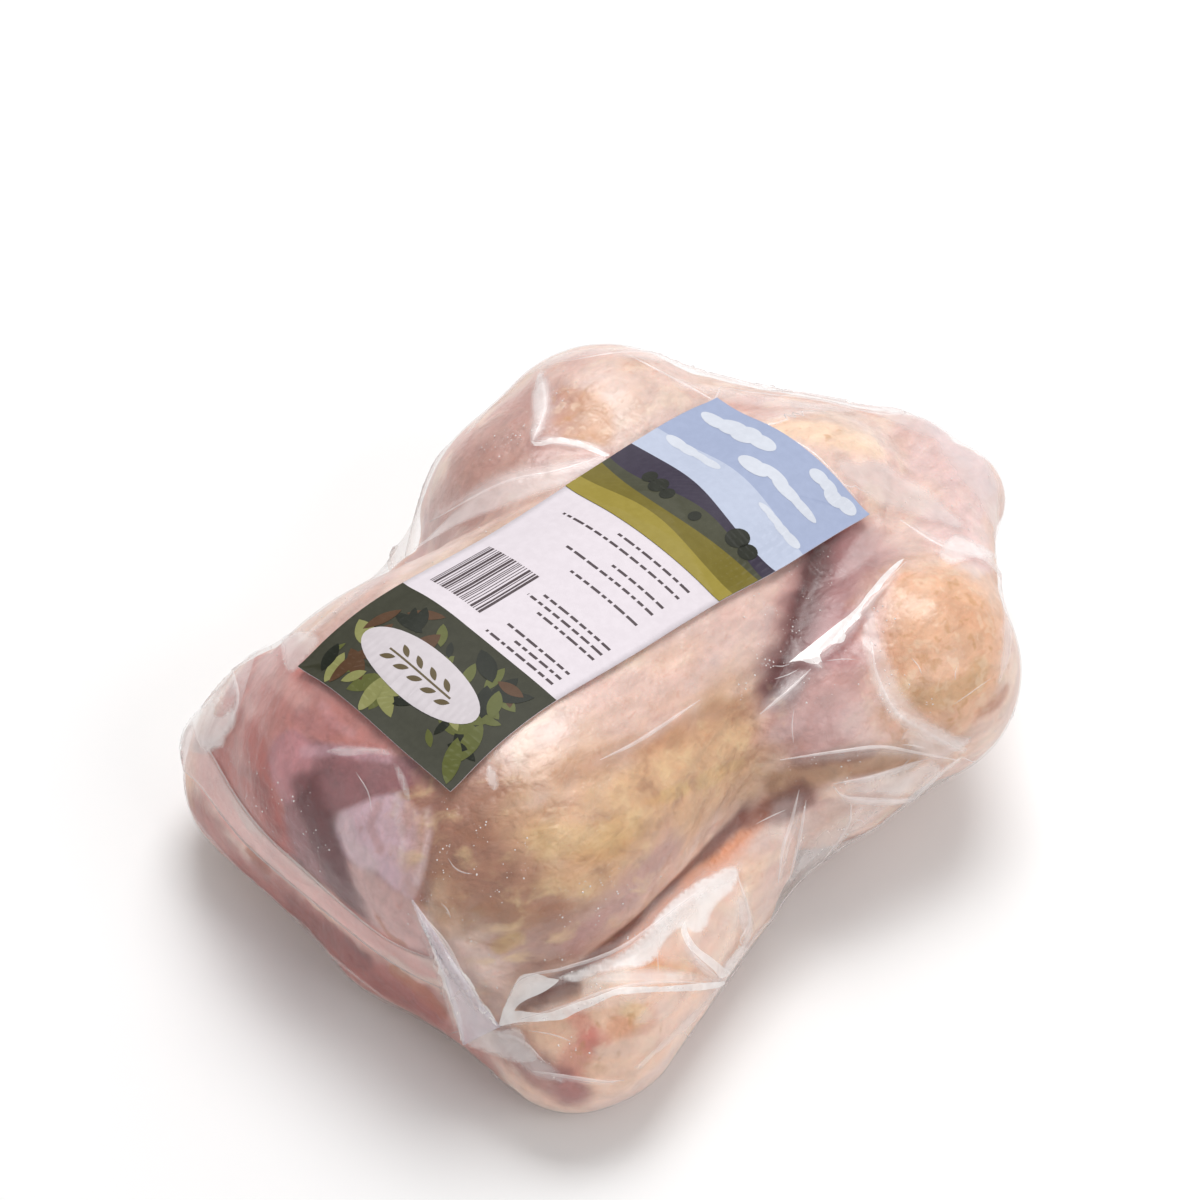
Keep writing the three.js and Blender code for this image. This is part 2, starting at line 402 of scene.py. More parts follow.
# Distance of each point from a route, and how far along the route its nearest place is, from 0 to 1.
def fromRoute(points, route, reach):
    distance = np.full(len(points), 1e9)
    share = np.zeros(len(points))
    low, high = route.min(0) - reach, route.max(0) + reach
    near = np.flatnonzero(((points > low) & (points < high)).all(1))
    lengths = np.linalg.norm(np.diff(route, axis=0), axis=1)
    total, passed = max(lengths.sum(), 1e-9), 0.0
    for a, b, length in zip(route, route[1:], lengths):
        run = b - a
        along = np.clip((points[near] - a) @ run / max(run @ run, 1e-9), 0, 1)
        apart = np.linalg.norm(points[near] - a - along[:, None] * run, axis=1)
        closer = apart < distance[near]
        distance[near[closer]] = apart[closer]
        share[near[closer]] = (passed + along[closer] * length) / total
        passed += length
    return distance, share


# Routes on a surface with their rows: the seen ones from pixels, the hidden ones from places in space.
def layRoutes(surface, seen, hidden):
    routes = [(castRoute(surface, row["route"]), row) for row in seen.values()]
    return routes + [(snapRoute(surface, row["route"]), row) for row in hidden.values()]


def smoothStep(low, high, value):
    t = np.clip((value - low) / (high - low), 0, 1)
    return t * t * (3 - 2 * t)


def noiseAt(points, size, seed=0, octaves=2):
    offset = Vector((seed * 17.3, seed * 5.1, seed * 9.7))
    return np.array([noise.fractal(Vector(p) / size + offset, 0.8, 2.1, octaves) for p in points])


def linearTone(red, green, blue):
    channels = np.array([red, green, blue]) / 255
    return np.where(channels <= 0.04045, channels / 12.92, ((channels + 0.055) / 1.055) ** 2.4)


# The label lies on the film in its own plan: along it from the neck end, aside from the near edge.
labelPlan = {
    "length": 160, "width": 61.5, "middle": (10.6, 8.4), "turn": -3.3,
    "lift": 0.75, "thickness": 0.3, "cell": 2.0, "wrinkle": 0.35, "smoothings": 6,
}
labelTurn = math.radians(labelPlan["turn"])
labelAlong = np.array([math.cos(labelTurn), math.sin(labelTurn)])
labelAside = np.array([-math.sin(labelTurn), math.cos(labelTurn)])
halfLength, halfWidth = labelPlan["length"] / 2, labelPlan["width"] / 2


def onLabelPlan(points):
    flat = points[:, :2] - np.array(labelPlan["middle"])
    return flat @ labelAlong, flat @ labelAside


def isBesideLabel(points, margin=1):
    along, aside = onLabelPlan(points)
    return ((np.abs(along) > halfLength + margin) | (np.abs(aside) > halfWidth + margin)).all()


# The skin under the film has lumps, pores and creases, and lobes where the depth is negative.
skinRelief = {
    "swell": 0.7, "grain": (0.55, 1.15, 1.0), "overFloor": 0.5, "underFilm": 0.35, "creaseReach": 4,
    "lumps": [(20, 1.0, 3), (8, 0.7, 5)], "pores": (2.6, 0.16, 8),  # size, height and seed
}
skinCreases = readTable("depth width", """
breastToWing 2.5 3: 744,829 681,887 643,925 592,970 550,990
breastToThigh 3 3.5: 820,545 813,591 805,622 798,648 789,688
membraneHollow 2 4: 322,770 326,830 360,905
skinEdge 1.2 1.6: 436,800 430,850 424,905 440,960
neckFold 2.5 4: 215,800 270,872 330,935 400,990
thighFold 2 3: 560,470 600,478 660,470
tailFold 2 3: 880,440 900,480 890,530
membraneLobe -2.2 7: 355,800 395,835 405,872
membraneRoll -1.8 6: 290,745 300,790 320,850
fatPad -1.8 6: 790,430 840,440 870,446
lobeA -1 4.5: 574,858 600,848 624,838
lobeB -0.9 3.5: 534,888 568,880
lobeC -0.9 3.2: 500,914 538,911
""")
farCreases = readTable("depth width", """
farBreastToWing 2.5 3.5: -78,62,58 -40,70,52 0,70,50 20,66,58
backbone 1.5 5: -50,2,0 0,2,-2 60,2,2 110,0,20
farThighToBack 2 3.5: 10,80,20 50,84,14 90,76,24
nearThighToBack 2 3.5: 10,-66,14 50,-78,16 90,-66,22
""")


def relieveSkin(travel):
    travel = travel + skinRelief["swell"]
    points = rays.at(travel)
    surface = Surface(points, sphereFaces)
    for size, height, seed in skinRelief["lumps"]:
        travel = travel + height * noiseAt(points * np.array(skinRelief["grain"]), size, seed)
    size, height, seed = skinRelief["pores"]
    travel = travel + height * noiseAt(points, size, seed, 1)
    for route, crease in layRoutes(surface, skinCreases, farCreases):
        distance, share = fromRoute(points, route, crease["width"] * skinRelief["creaseReach"])
        ends = np.sqrt(np.clip(np.sin(np.pi * share), 0, 1))
        travel = travel - crease["depth"] * ends * np.exp(-(distance / crease["width"]) ** 2)
    travel = np.minimum(travel, rays.toFloor - skinRelief["overFloor"])
    return np.minimum(travel, filmTravel - skinRelief["underFilm"])


skinTravel = relieveSkin(skinTravel)
skinPoints = rays.at(skinTravel)
skinSurface = Surface(skinPoints, sphereFaces)
print("skin relief made")


# Folds of the film. Each runs along a route, stands up by its height and turns the film milky.
viewFolds = readTable("height width haze", """
thighFold 2.6 2 0.5: 906,562 875,591 848,624 832,642 813,657 793,662
thighHook 1.6 1.6 0.6: 800,652 812,661 822,668
kneeArc 1.3 3.6 0.4: 871,638 877,675 896,712 925,731 962,751
waistRidge 3 2.2 0.3: 780,760 842,751 883,747 929,755 957,760
waistThin 1.6 1.2 0.5: 833,784 875,776 931,757
waistThick 2.2 1.6 0.6: 833,786 846,797 883,800 914,799
sideCreaseLeft 2.4 1.4 0.35: 799,790 791,823 783,848 778,883
sideCreaseRight 1.6 1.2 0.3: 806,800 799,840 789,880
bridgeBand 1.2 2.6 0.35: 760,714 787,692 811,669
smallCrease 1.6 1.4 0.3: 851,803 848,825 822,862
farFold 2.2 1.6 0.55: 533,440 554,443 592,449 609,457
farFoldUp 1.4 2.6 0.4: 541,374 545,408 533,440
farLine 1 1 0.15: 629,355 693,389 731,411
tailLine 1 1 0.15: 708,400 768,430 813,453 862,505
tailRim 1.6 2.4 0.5: 900,520 940,545 985,560 1008,590
wingRidge 2.4 1.8 0.3: 499,1025 560,1008 610,990 660,982 718,984
wingUpperRidge 2 2.4 0.2: 500,1020 520,980 565,968 620,948 680,905 735,866
wingTip 1.8 1.4 0.3: 735,868 746,903 749,923 740,940 746,947
wingCross 1.8 1.8 0.5: 685,926 693,954 720,979
cornerRight 3 1.6 0.35: 413,900 452,958 480,1000 499,1025
cornerLeft 3 1.4 0.35: 413,900 437,958 452,1005 463,1044
wingFoot 1 1 0.3: 532,1071 599,1081 624,1080
breastFold 0.8 2.2 0.2: 600,760 640,740 700,700
farWaist 1 3.5 0.4: 430,522 500,484 560,470 606,455
neckPocket 0.9 1.5 0.35: 228,655 238,700 222,735 200,745
rimTop 1 2.4 0.35: 560,362 640,352 720,372 800,392 900,410
""")
# Tension lines on the hidden sides, as fans; the first place of each is where the bag is drawn in.
hiddenFans = readTable("height width haze", """
farShoulder 1.8 1.8 0.35: -78,74,20 -20,88,30 20,82,24 -40,60,2 -50,80,56 -10,86,12
legEnd 1.8 1.8 0.35: 152,-12,38 100,62,40 92,50,20 100,-10,10 110,30,62 104,-58,28 96,40,66 118,-30,14
farSide 1.8 1.8 0.4: 10,76,30 50,94,40 60,90,20 -40,84,20 34,90,66 0,80,60 30,90,8
neckFoot 1.2 1.6 0.3: -90,10,12 -60,30,1 -50,-20,0 -86,50,10 -84,-40,6
farLeg 1.6 1.8 0.35: 104,66,30 80,86,60 70,84,14 130,40,50 124,44,20 60,96,44
tailTop 1 1.6 0.25: 60,20,92 100,40,74 110,10,70 96,-20,74
farFoot 1.2 1.5 0.3: -40,82,6 -10,80,2 -60,84,14 -20,86,20
""")
# Milky places where dry film stands off the skin, and painted sheen and highlights where it shines: the Sheen
# and Gleam rows, wingNotch and farFoldSoft.
hazeStrokes = readTable("width haze", """
wingSheen 5.5 0.3: 588,988 625,955 665,915 705,882 738,866
wingSheenTop 2 0.25: 510,1008 545,983 590,970 618,957
wingSheenSide 4.5 0.2: 690,945 722,915 742,885
wingSheenLow 2.6 0.3: 500,1024 545,1010 602,1000 660,990 722,984
wingGleam 4 0.3: 640,1020 670,1003 695,985
wingNotch 3.5 0.5: 740,900 747,935 722,975
waistFilm 8 0.14: 775,735 820,705 870,725 930,748
waistFilmHigh 4 0.14: 765,715 800,680 830,670
kneeArcSoft 3.6 0.36: 866,602 880,665 902,712 963,750
kneeArcFoot 4.5 0.45: 905,735 935,745 965,742
sideFilm 7 0.3: 790,878 820,845 860,818 905,785
kneeGleam 4 0.25: 938,552 965,548 1002,572
kneeRim 3 0.35: 1006,600 1008,640 1000,680
cornerFilm 5 0.25: 425,915 460,985 480,1035 520,1050
cornerFoot 3.5 0.4: 500,1035 530,1062 560,1078
neckRim 4.5 0.3: 236,650 205,690 180,725 168,760
hemRim 1.6 0.3: 168,765 200,825 260,890 330,955 400,1010
farRim 4.5 0.35: 470,430 520,375 600,352 700,365
tailFilm 10 0.42: 870,410 940,430 980,480 1000,540
tailPale 11 0.4: 850,470 900,490 950,520
tailTop 6 0.3: 680,385 760,400 850,410
farWaistFilm 5.5 0.45: 420,545 480,505 560,475 600,462
farEdge 3.5 0.3: 300,640 350,600 420,545
edgeByLabel 4 0.2: 880,520 866,548 840,575
breastGleam 5 0.16: 690,690 740,650 770,610
farFoldSoft 3.2 0.5: 541,374 543,408 535,440
lowRim 3.5 0.5: 955,760 912,800 870,835 830,860 785,905
lowRimWing 2.5 0.4: 775,915 745,950 700,1010 640,1065
wingLowFilm 6 0.22: 600,1052 640,1042 690,1012 722,985
thighFoldSoft 2.2 0.2: 868,602 840,640 812,660
""")
# Where the film is wetted to the flesh it stays clear.
clearStrokes = readTable("width", """
thighCrease 8: 820,535 808,591 798,622 789,650 778,690
wingCrease 4: 760,808 720,845 675,880 637,915 590,955
recess 4.5: 778,785 840,768 900,762
underHem 8: 190,800 240,865 310,930 430,1010
neck 18: 240,680 270,770 340,850 410,920
hem 7: 250,840 300,890 350,930 400,975 450,1015
knee 14: 950,600 965,660 940,690
thigh 8: 845,560 840,620 850,690
breast 18: 480,830 560,860 660,800 740,730
""")
filmLook = {
    "haze": 0.035, "gapNear": 1.2, "gapFar": 12.0, "gapHaze": 0.26, "most": 0.9,
    "foldReach": 5, "foldEnds": 0.02, "strokeReach": 2, "strokeEnds": 0.05, "strokeEdge": (1.3, 0.45),
    "ragged": 0.22, "raggedSize": 12, "cloud": 0.06, "cloudSize": 14, "ripple": 0.12, "rippleSize": 7,
    "rippleGap": (0.5, 4), "wetted": 0.9, "wettedEdge": (1.4, 0.6), "footHaze": 0.2, "footHeight": (4, 0.5),
    "labelFoot": 50, "underLabel": 3.0, "cling": 0.3,
}


# Eases a value out towards both ends of a route.
def towardsEnds(share, margin):
    return np.clip(np.sin(np.pi * np.clip(share, margin, 1 - margin)), 0, 1) ** 0.5


def fanRoutes(surface, spacing=4):
    for fan in hiddenFans.values():
        for target in fan["route"][1:]:
            yield snapRoute(surface, [fan["route"][0], target], spacing), fan


def shapeFilm():
    baseSurface = Surface(filmBase, sphereFaces)
    lift, haze = np.zeros(len(filmBase)), np.zeros(len(filmBase))
    for route, fold in layRoutes(baseSurface, viewFolds, {}) + list(fanRoutes(baseSurface)):
        distance, share = fromRoute(filmBase, route, fold["width"] * filmLook["foldReach"])
        ends = towardsEnds(share, filmLook["foldEnds"])
        lift = np.maximum(lift, fold["height"] * ends * np.exp(-distance / fold["width"]))
        haze = np.maximum(haze, fold["haze"] * ends * np.exp(-(distance / fold["width"]) ** 2))
    ragged = filmLook["ragged"] * noiseAt(filmBase, filmLook["raggedSize"], 11)
    for route, stroke in layRoutes(baseSurface, hazeStrokes, {}):
        distance, share = fromRoute(filmBase, route, stroke["width"] * filmLook["strokeReach"])
        reach = distance / (stroke["width"] * towardsEnds(share, filmLook["strokeEnds"])) + ragged
        haze = np.maximum(haze, stroke["haze"] * smoothStep(*filmLook["strokeEdge"], reach))
    gap = filmTravel - skinTravel
    dry = filmLook["gapHaze"] * smoothStep(filmLook["gapNear"], filmLook["gapFar"], gap)
    dry += filmLook["cloud"] * np.clip(noiseAt(filmBase, filmLook["cloudSize"], 21, 3), -0.4, 1)
    for route, stroke in layRoutes(baseSurface, clearStrokes, {}):
        distance, _ = fromRoute(filmBase, route, stroke["width"] * filmLook["strokeReach"])
        dry *= 1 - filmLook["wetted"] * smoothStep(*filmLook["wettedEdge"], distance / stroke["width"])
    haze = np.maximum(haze, filmLook["haze"] + dry)
    haze = np.maximum(haze, filmLook["footHaze"] * smoothStep(*filmLook["footHeight"], filmBase[:, 2]))
    along, aside = onLabelPlan(filmBase)
    over = np.maximum(np.abs(along) - halfLength, np.abs(aside) - halfWidth)
    clear = np.where(filmBase[:, 2] > filmLook["labelFoot"], smoothStep(0, filmLook["underLabel"], over), 1)
    ripple = filmLook["ripple"] * noiseAt(filmBase, filmLook["rippleSize"], 31)
    ripple = ripple * smoothStep(*filmLook["rippleGap"], gap)
    travel = np.minimum(filmTravel + (lift + ripple) * clear, rays.toFloor)
    return np.maximum(travel, skinTravel + filmLook["cling"]), np.clip(haze, 0, filmLook["most"])


foldedTravel, filmHaze = shapeFilm()
filmPoints = rays.at(foldedTravel)
filmSurface = Surface(filmPoints, sphereFaces)
print("film folded: haze from", round(float(filmHaze.min()), 2), "to", round(float(filmHaze.max()), 2))


def addMesh(name, points, faces, material):
    mesh = bpy.data.meshes.new(name)
    mesh.from_pydata([Vector(p) for p in (np.asarray(points) + shift) * mm], [], [tuple(f) for f in faces])
    mesh.update()
    for polygon in mesh.polygons:
        polygon.use_smooth = True
    mesh.materials.append(material)
    piece = addObject(name, mesh)
    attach(piece, "root")
    return piece


def addPointValues(piece, name, values):
    attribute = piece.data.attributes.new(name, "FLOAT", "POINT")
    attribute.data.foreach_set("value", np.asarray(values, np.float32))


def addPointTones(piece, name, tones):
    attribute = piece.data.attributes.new(name, "FLOAT_COLOR", "POINT")
    rgba = np.concatenate([tones, np.ones((len(tones), 1))], axis=1)
    attribute.data.foreach_set("color", rgba.astype(np.float32).reshape(-1))


# A small kit for wiring materials. Inputs go by name or number, each with a value or a socket to link.
def setInputs(tree, node, inputs):
    for place, value in inputs.items():
        if isinstance(value, bpy.types.NodeSocket):
            tree.links.new(value, node.inputs[place])
        else:
            node.inputs[place].default_value = value


def addNode(tree, kind, inputs, **settings):
    node = tree.nodes.new("ShaderNode" + kind)
    for name, value in settings.items():
        setattr(node, name, value)
    setInputs(tree, node, inputs)
    return node


def startMaterial(name, inputs):
    material = bpy.data.materials.new(name)
    material.use_nodes = True
    tree = material.node_tree
    tree.nodes.clear()
    output = addNode(tree, "OutputMaterial", {})
    shader = addNode(tree, "BsdfPrincipled", inputs)
    tree.links.new(shader.outputs["BSDF"], output.inputs["Surface"])
    return material, tree, shader, output


def addNoise(tree, coordinates, scale, detail=3, roughness=0.55, distortion=0.0):
    inputs = {"Vector": coordinates, "Scale": scale, "Detail": detail, "Roughness": roughness}
    return addNode(tree, "TexNoise", {**inputs, "Distortion": distortion}).outputs["Fac"]


def addRange(tree, value, low, high, toLow=0.0, toHigh=1.0):
    inputs = {"Value": value, "From Min": low, "From Max": high, "To Min": toLow, "To Max": toHigh}
    return addNode(tree, "MapRange", inputs, interpolation_type="SMOOTHSTEP").outputs["Result"]


def addMix(tree, share, first, second, blend="MIX"):
    tones = [tone if isinstance(tone, bpy.types.NodeSocket) else (*tone, 1) for tone in (first, second)]
    inputs = {0: share, 6: tones[0], 7: tones[1]}
    return addNode(tree, "Mix", inputs, data_type="RGBA", blend_type=blend).outputs[2]


def addProduct(tree, first, second):
    return addNode(tree, "Math", {0: first, 1: second}, operation="MULTIPLY").outputs[0]


def addBump(tree, height, strength, distance, over=None):
    inputs = {"Height": height, "Strength": strength, "Distance": distance}
    return addNode(tree, "Bump", {**inputs, "Normal": over} if over else inputs).outputs["Normal"]


def mixShaders(tree, share, first, second):
    return addNode(tree, "MixShader", {0: share, 1: first, 2: second}).outputs[0]


def readAttribute(tree, name, output="Color"):
    return addNode(tree, "Attribute", {}, attribute_name=name).outputs[output]


def objectPlace(tree):
    return addNode(tree, "TexCoord", {}).outputs["Object"]


# Colours of the flesh, named for what they cover, but crease, mauveCrease and recess are painted shade for
# creases, hollows and the recess, the dark red of the neck cavity and membrane hollow is painted shade, and the
# bright flesh under the hem is painted lighter to make up for the dim light there.
fleshTones = {
    "pale": (232, 200, 180), "pink": (216, 168, 152), "tan": (212, 160, 100), "cream": (248, 222, 192),
    "muscle": (200, 126, 114), "darkMuscle": (140, 52, 40), "membrane": (156, 102, 102),
    "membranePale": (244, 198, 202), "bruise": (92, 30, 32), "neckRed": (172, 80, 68),
    "yellow": (218, 178, 118), "yellowShade": (172, 112, 70), "orange": (226, 140, 82),
    "crease": (120, 58, 38), "hemFlesh": (250, 176, 160), "mauveCrease": (92, 22, 18),
    "muscleDeep": (182, 64, 42), "mauveDeep": (150, 84, 84), "jointPink": (212, 108, 94),
    "wing": (252, 206, 168), "mauve": (196, 144, 134), "brownMauve": (158, 104, 86),
    "knee": (236, 184, 142), "kneeShade": (222, 164, 122), "kneeYellow": (212, 172, 118),
    "tanSpot": (206, 150, 104), "farMauve": (182, 126, 114), "fat": (255, 218, 182),
    "tailMauve": (232, 196, 188), "recess": (182, 138, 100), "border": (236, 208, 200),
    "amber": (180, 96, 36), "neckPink": (196, 134, 120), "membranePink": (222, 152, 150),
    "neckTan": (232, 186, 172), "kneeTan": (224, 166, 116), "creamTan": (240, 208, 172),
    "ripplePale": (240, 208, 160), "lobePale": (240, 204, 206), "rippleShade": (164, 108, 76),
    "ochre": (196, 140, 78), "softTan": (226, 184, 148),
}
# Painted shade among the strokes: breastLeft, breastDeep and breastLow darken the lower left side of the
# breast.
# The dark strokes in the neck cavity under the hem and membraneDark are painted shade in the hollows there.
# The flesh under the sealed hem is painted lighter to make up for the dim light there.
# lobeShine and the pale stroke along the top of the membrane are painted highlights.
# thighShade, thighCrease, wingCrease, wingHollow, wingPit, recess and recessDark are painted shade in creases,
# hollows and the recess.
fleshStrokes = readTable("tone width strength crisp", """
breastSide tan 20 0.75: 470,850 560,860 650,810 730,750
breastLeft brownMauve 14 0.64: 462,800 470,850 510,900 560,950
breastDeep brownMauve 8 0.35: 452,815 464,845 486,868
breastLow mauve 9 0.7: 590,940 625,905 665,860
breastMauve pink 9 0.25: 620,712 690,668 740,625
breastRidge yellowShade 3.5 0.4: 560,772 640,745 745,704
lobeA yellow 4 0.6: 540,836 590,838 632,826
lobeD yellow 2.6 0.7: 500,946 516,938
lobeE yellow 2.2 0.7 0.7: 664,795 686,788
lobeF yellow 2.4 0.65 0.7: 698,783 722,773
lobeG yellow 1.8 0.6 0.7: 730,768 742,764
wing wing 20 0.85: 560,1050 640,1010 710,920
wingPale cream 7 0.75: 600,980 650,962 700,930 735,895
wingEdge orange 3.2 0.85: 772,806 724,856 664,906 622,946 596,962
wingEdgeLow orange 3 0.45: 640,975 690,950 735,880
wingJoint jointPink 3 0.5: 577,1016 586,1028 588,1042
wingJointLow jointPink 4 0.5: 586,1046 574,1060 568,1076 570,1092
wingJointSide jointPink 2.4 0.5: 594,1034 602,1040
lobeShine border 4 0.45: 343,826 350,846 368,860
lobeLine border 1.3 0.6: 398,796 396,815 403,838 400,860
lobeRim border 1.3 0.6: 428,812 430,828 425,852 417,882
lobeMark mauve 1.6 0.5: 378,806 371,826 380,848
wingTanHigh orange 4.5 0.42: 700,950 714,934 723,912
wingTanSide orange 3 0.45: 650,964 660,950 670,940
neckPaleA neckTan 3 0.4: 268,664 284,684 302,702
neckPaleB membranePale 1.6 0.15: 322,706 334,722 352,734
neckDeep membrane 3 0.35: 300,716 316,726 330,730
neckPaleC neckTan 2.4 0.45: 244,700 252,716 250,730
wingMauve mauveDeep 6.5 0.75: 570,1094 535,1072 508,1046
wingHollow mauveCrease 3 0.7: 524,1004 548,997 574,986
wingTan orange 3.4 0.5: 618,1028 640,1026 650,1016
wingCrease crease 2.4 0.9: 742,818 675,880 637,918 586,964 540,990
thigh mauve 16 0.85: 850,550 835,650 815,720
thighShade mauveDeep 12 0.75 0.05: 838,540 828,585 816,640 800,680
thighPink pink 6 0.5: 800,700 850,690 900,735
thighCrease mauveCrease 5.5 1 0.1: 820,530 811,570 804,600 796,630 788,655 778,690
knee knee 20 0.9: 945,600 960,655 940,700
kneeShadeA kneeShade 3 0.6: 890,640 888,656 896,668
kneeShadeB kneeShade 3.5 0.5: 945,600 962,612 990,628
kneeShadeC kneeShade 2.5 0.5: 900,566 906,580 914,592
kneeYellow kneeYellow 3.6 0.5: 905,690 930,700 970,684 980,668
kneeFoot amber 2.4 0.55: 982,712 998,702 1006,690
farThigh farMauve 15 0.7: 530,410 480,470 450,520
farUnder farMauve 5 0.5: 540,450 580,462 610,462
fatPad fat 7 0.9: 785,428 830,434 872,444
tail tailMauve 13 0.6: 930,440 975,500 960,540
recess recess 5 0.9: 780,785 840,766 910,757
recessDark crease 2.5 0.6: 800,762 840,756 870,752
wingPit crease 4.5 0.85: 750,818 785,806 800,795
farSide mauve 5 0.4: 300,655 370,590 430,530
hemFlesh hemFlesh 6 0.9: 186,742 216,790 260,845 330,905 420,968
neckRed neckRed 9 0.85: 184,798 232,858 300,926 424,1006
neckBruise bruise 4.5 0.9: 292,908 325,935 362,960
neckBruiseLow bruise 4 0.6: 380,985 430,1012
membraneDark bruise 6 0.72: 306,792 320,832 332,872 356,905
membraneTop membranePale 1.8 0.35: 304,752 340,750 388,757
skinEdge brownMauve 2 0.6: 436,808 434,850 424,900
muscle muscleDeep 6 0.85: 250,736 256,764 264,794 272,822 276,838
darkMuscle darkMuscle 4 0.55: 258,786 268,806 273,830
darkStreak darkMuscle 1.6 0.4: 240,770 256,778 266,792
amberA amber 2.2 0.7 0.78: 183,790 192,802
amberB amber 2.6 0.75 0.78: 250,850 264,868
amberD amber 1.3 0.6: 378,918 390,936 404,944
amberC amber 3.2 0.7 0.78: 396,972 420,992 440,1010
""")
# Areas with a clear edge, painted before the strokes.
fleshAreas = readTable("tone strength soft", """
neckFlesh neckPink 0.9 5: 262,645 290,632 312,656 367,682 420,736 456,788 434,850 424,905 440,958 380,934
    320,882 262,834 222,780 202,745 214,716 232,688
wetMuscle muscle 0.75 3: 256,650 280,644 296,656 312,659 340,672 372,698 406,734 384,750 345,745 312,738
    292,729 276,739 268,756 267,776 276,790 285,806 282,826 272,840 248,815 226,786 211,758 216,749 227,748
    231,735 239,724 236,710 224,701 234,680
redMuscle muscleDeep 0.55 3: 212,757 224,749 243,777 267,796 282,808 284,819 278,831 267,831 247,812 228,784
membrane membrane 0.92 3: 268,776 266,758 274,742 290,730 308,737 340,746 386,754 412,760 440,790 433,824
    427,868 414,899 427,928 441,958 404,946 362,916 318,880 276,840 285,812 278,791
membraneHead membranePink 0.7 7: 268,776 266,758 274,742 290,731 308,740 312,762 304,790 286,800 274,790
lowNeck neckTan 0.75 5: 346,862 368,868 392,888 412,900 426,926 438,956 412,950 384,934 360,910
paleLobe lobePale 0.8 4: 333,824 341,812 356,806 374,799 392,794 408,800 420,812 431,822 430,848 425,874
    418,894 410,899 394,888 376,872 358,866 344,852 336,838
kneeSkin kneeTan 0.8 4: 900,566 914,576 936,580 952,575 966,572 974,580 988,573 1004,577 1010,602 1005,622
    992,636 976,646 974,656 984,674 987,690 966,700 946,710 922,713 906,704 892,676 881,648 881,628 889,608
    893,588
farKneeSkin tanSpot 0.88 5: 553,396 562,388 584,390 604,400 612,416 615,434 604,446 584,442 562,440 556,424
    552,410
fatGold yellow 0.65 4: 553,842 571,828 599,826 628,836 620,856 592,863 560,858 535,863 539,849
fatCream creamTan 0.6 4: 517,881 535,870 560,870 571,883 560,892 542,895 524,893
fatLow yellow 0.6 4: 471,909 500,900 524,904 546,913 539,924 517,934 503,948 496,938 507,927 482,916
fatHigh yellow 0.6 3: 642,803 663,792 684,783 693,788 681,797 656,804
fatSide yellow 0.5 3: 663,817 670,824 663,831 654,828
shadeHigh brownMauve 0.5 4: 542,828 578,822 601,827 571,834 546,844 536,838
shadeLeft brownMauve 0.5 5: 439,828 464,820 476,842 457,860 439,850
shadeMiddle brownMauve 0.5 4: 478,865 500,858 519,865 514,879 485,883
breastFat cream 0.6 7: 586,792 606,776 640,762 690,744 742,722 762,728 752,752 720,766 680,782 640,800
    606,812 584,808
""")
# farWingCrease is painted shade along the crease between the far breast and wing.
farStrokes = readTable("tone width strength", """
backMuscle pink 14 0.6: -60,0,0 0,4,-2 70,0,2
backFar tan 12 0.6: -20,40,4 50,60,6 100,40,14
farWing wing 12 0.8: -70,66,30 -30,84,34 10,82,34
farWingEdge orange 3.5 0.6: -60,76,50 -20,82,52 10,80,50
farWingCrease mauve 2.4 0.6: -70,70,58 -30,74,56 20,74,56
farJoint jointPink 6 0.6: -76,70,24 -70,78,20
legEnds jointPink 7 0.6: 146,-24,36 150,-8,38
legEndsPale border 5 0.7: 140,-26,50 146,-4,52
farKnee knee 16 0.7: 70,90,58 90,84,50
nearDrumstick knee 10 0.6: 100,-66,50 130,-38,44
neckEnd neckRed 12 0.7: -96,40,22 -98,0,20 -92,-40,14
""")
fleshLook = {
    "grain": (0.55, 1.15, 1.0), "tint": (1.0, 1.02, 1.12), "broadSize": 22, "fineSize": 8, "shadeSize": 4,
    "shade": (0.08, 0.05), "ragged": 0.28, "raggedSize": 7, "areaRagged": 6, "softEdge": 0.45, "edge": 1.8,
    "strokeReach": 2.5, "maskReach": 2, "maskEdge": (1.4, 0.5),
    "mottle": 230, "vein": 420, "veinTone": (236, 190, 166),
    "poreScale": 430, "poreDepth": 0.00025, "creaseScale": 260, "creaseDepth": 0.0006,
    "rippleStretch": (1.6, 1, 1), "rippleTurn": -47, "rippleScale": 150, "rippleDepth": 0.0018,
    "stippleScale": 230, "roughness": 0.4,
    "scatter": 0.15, "scatterScale": 0.003, "scatterRadius": (1.0, 0.45, 0.3),
}


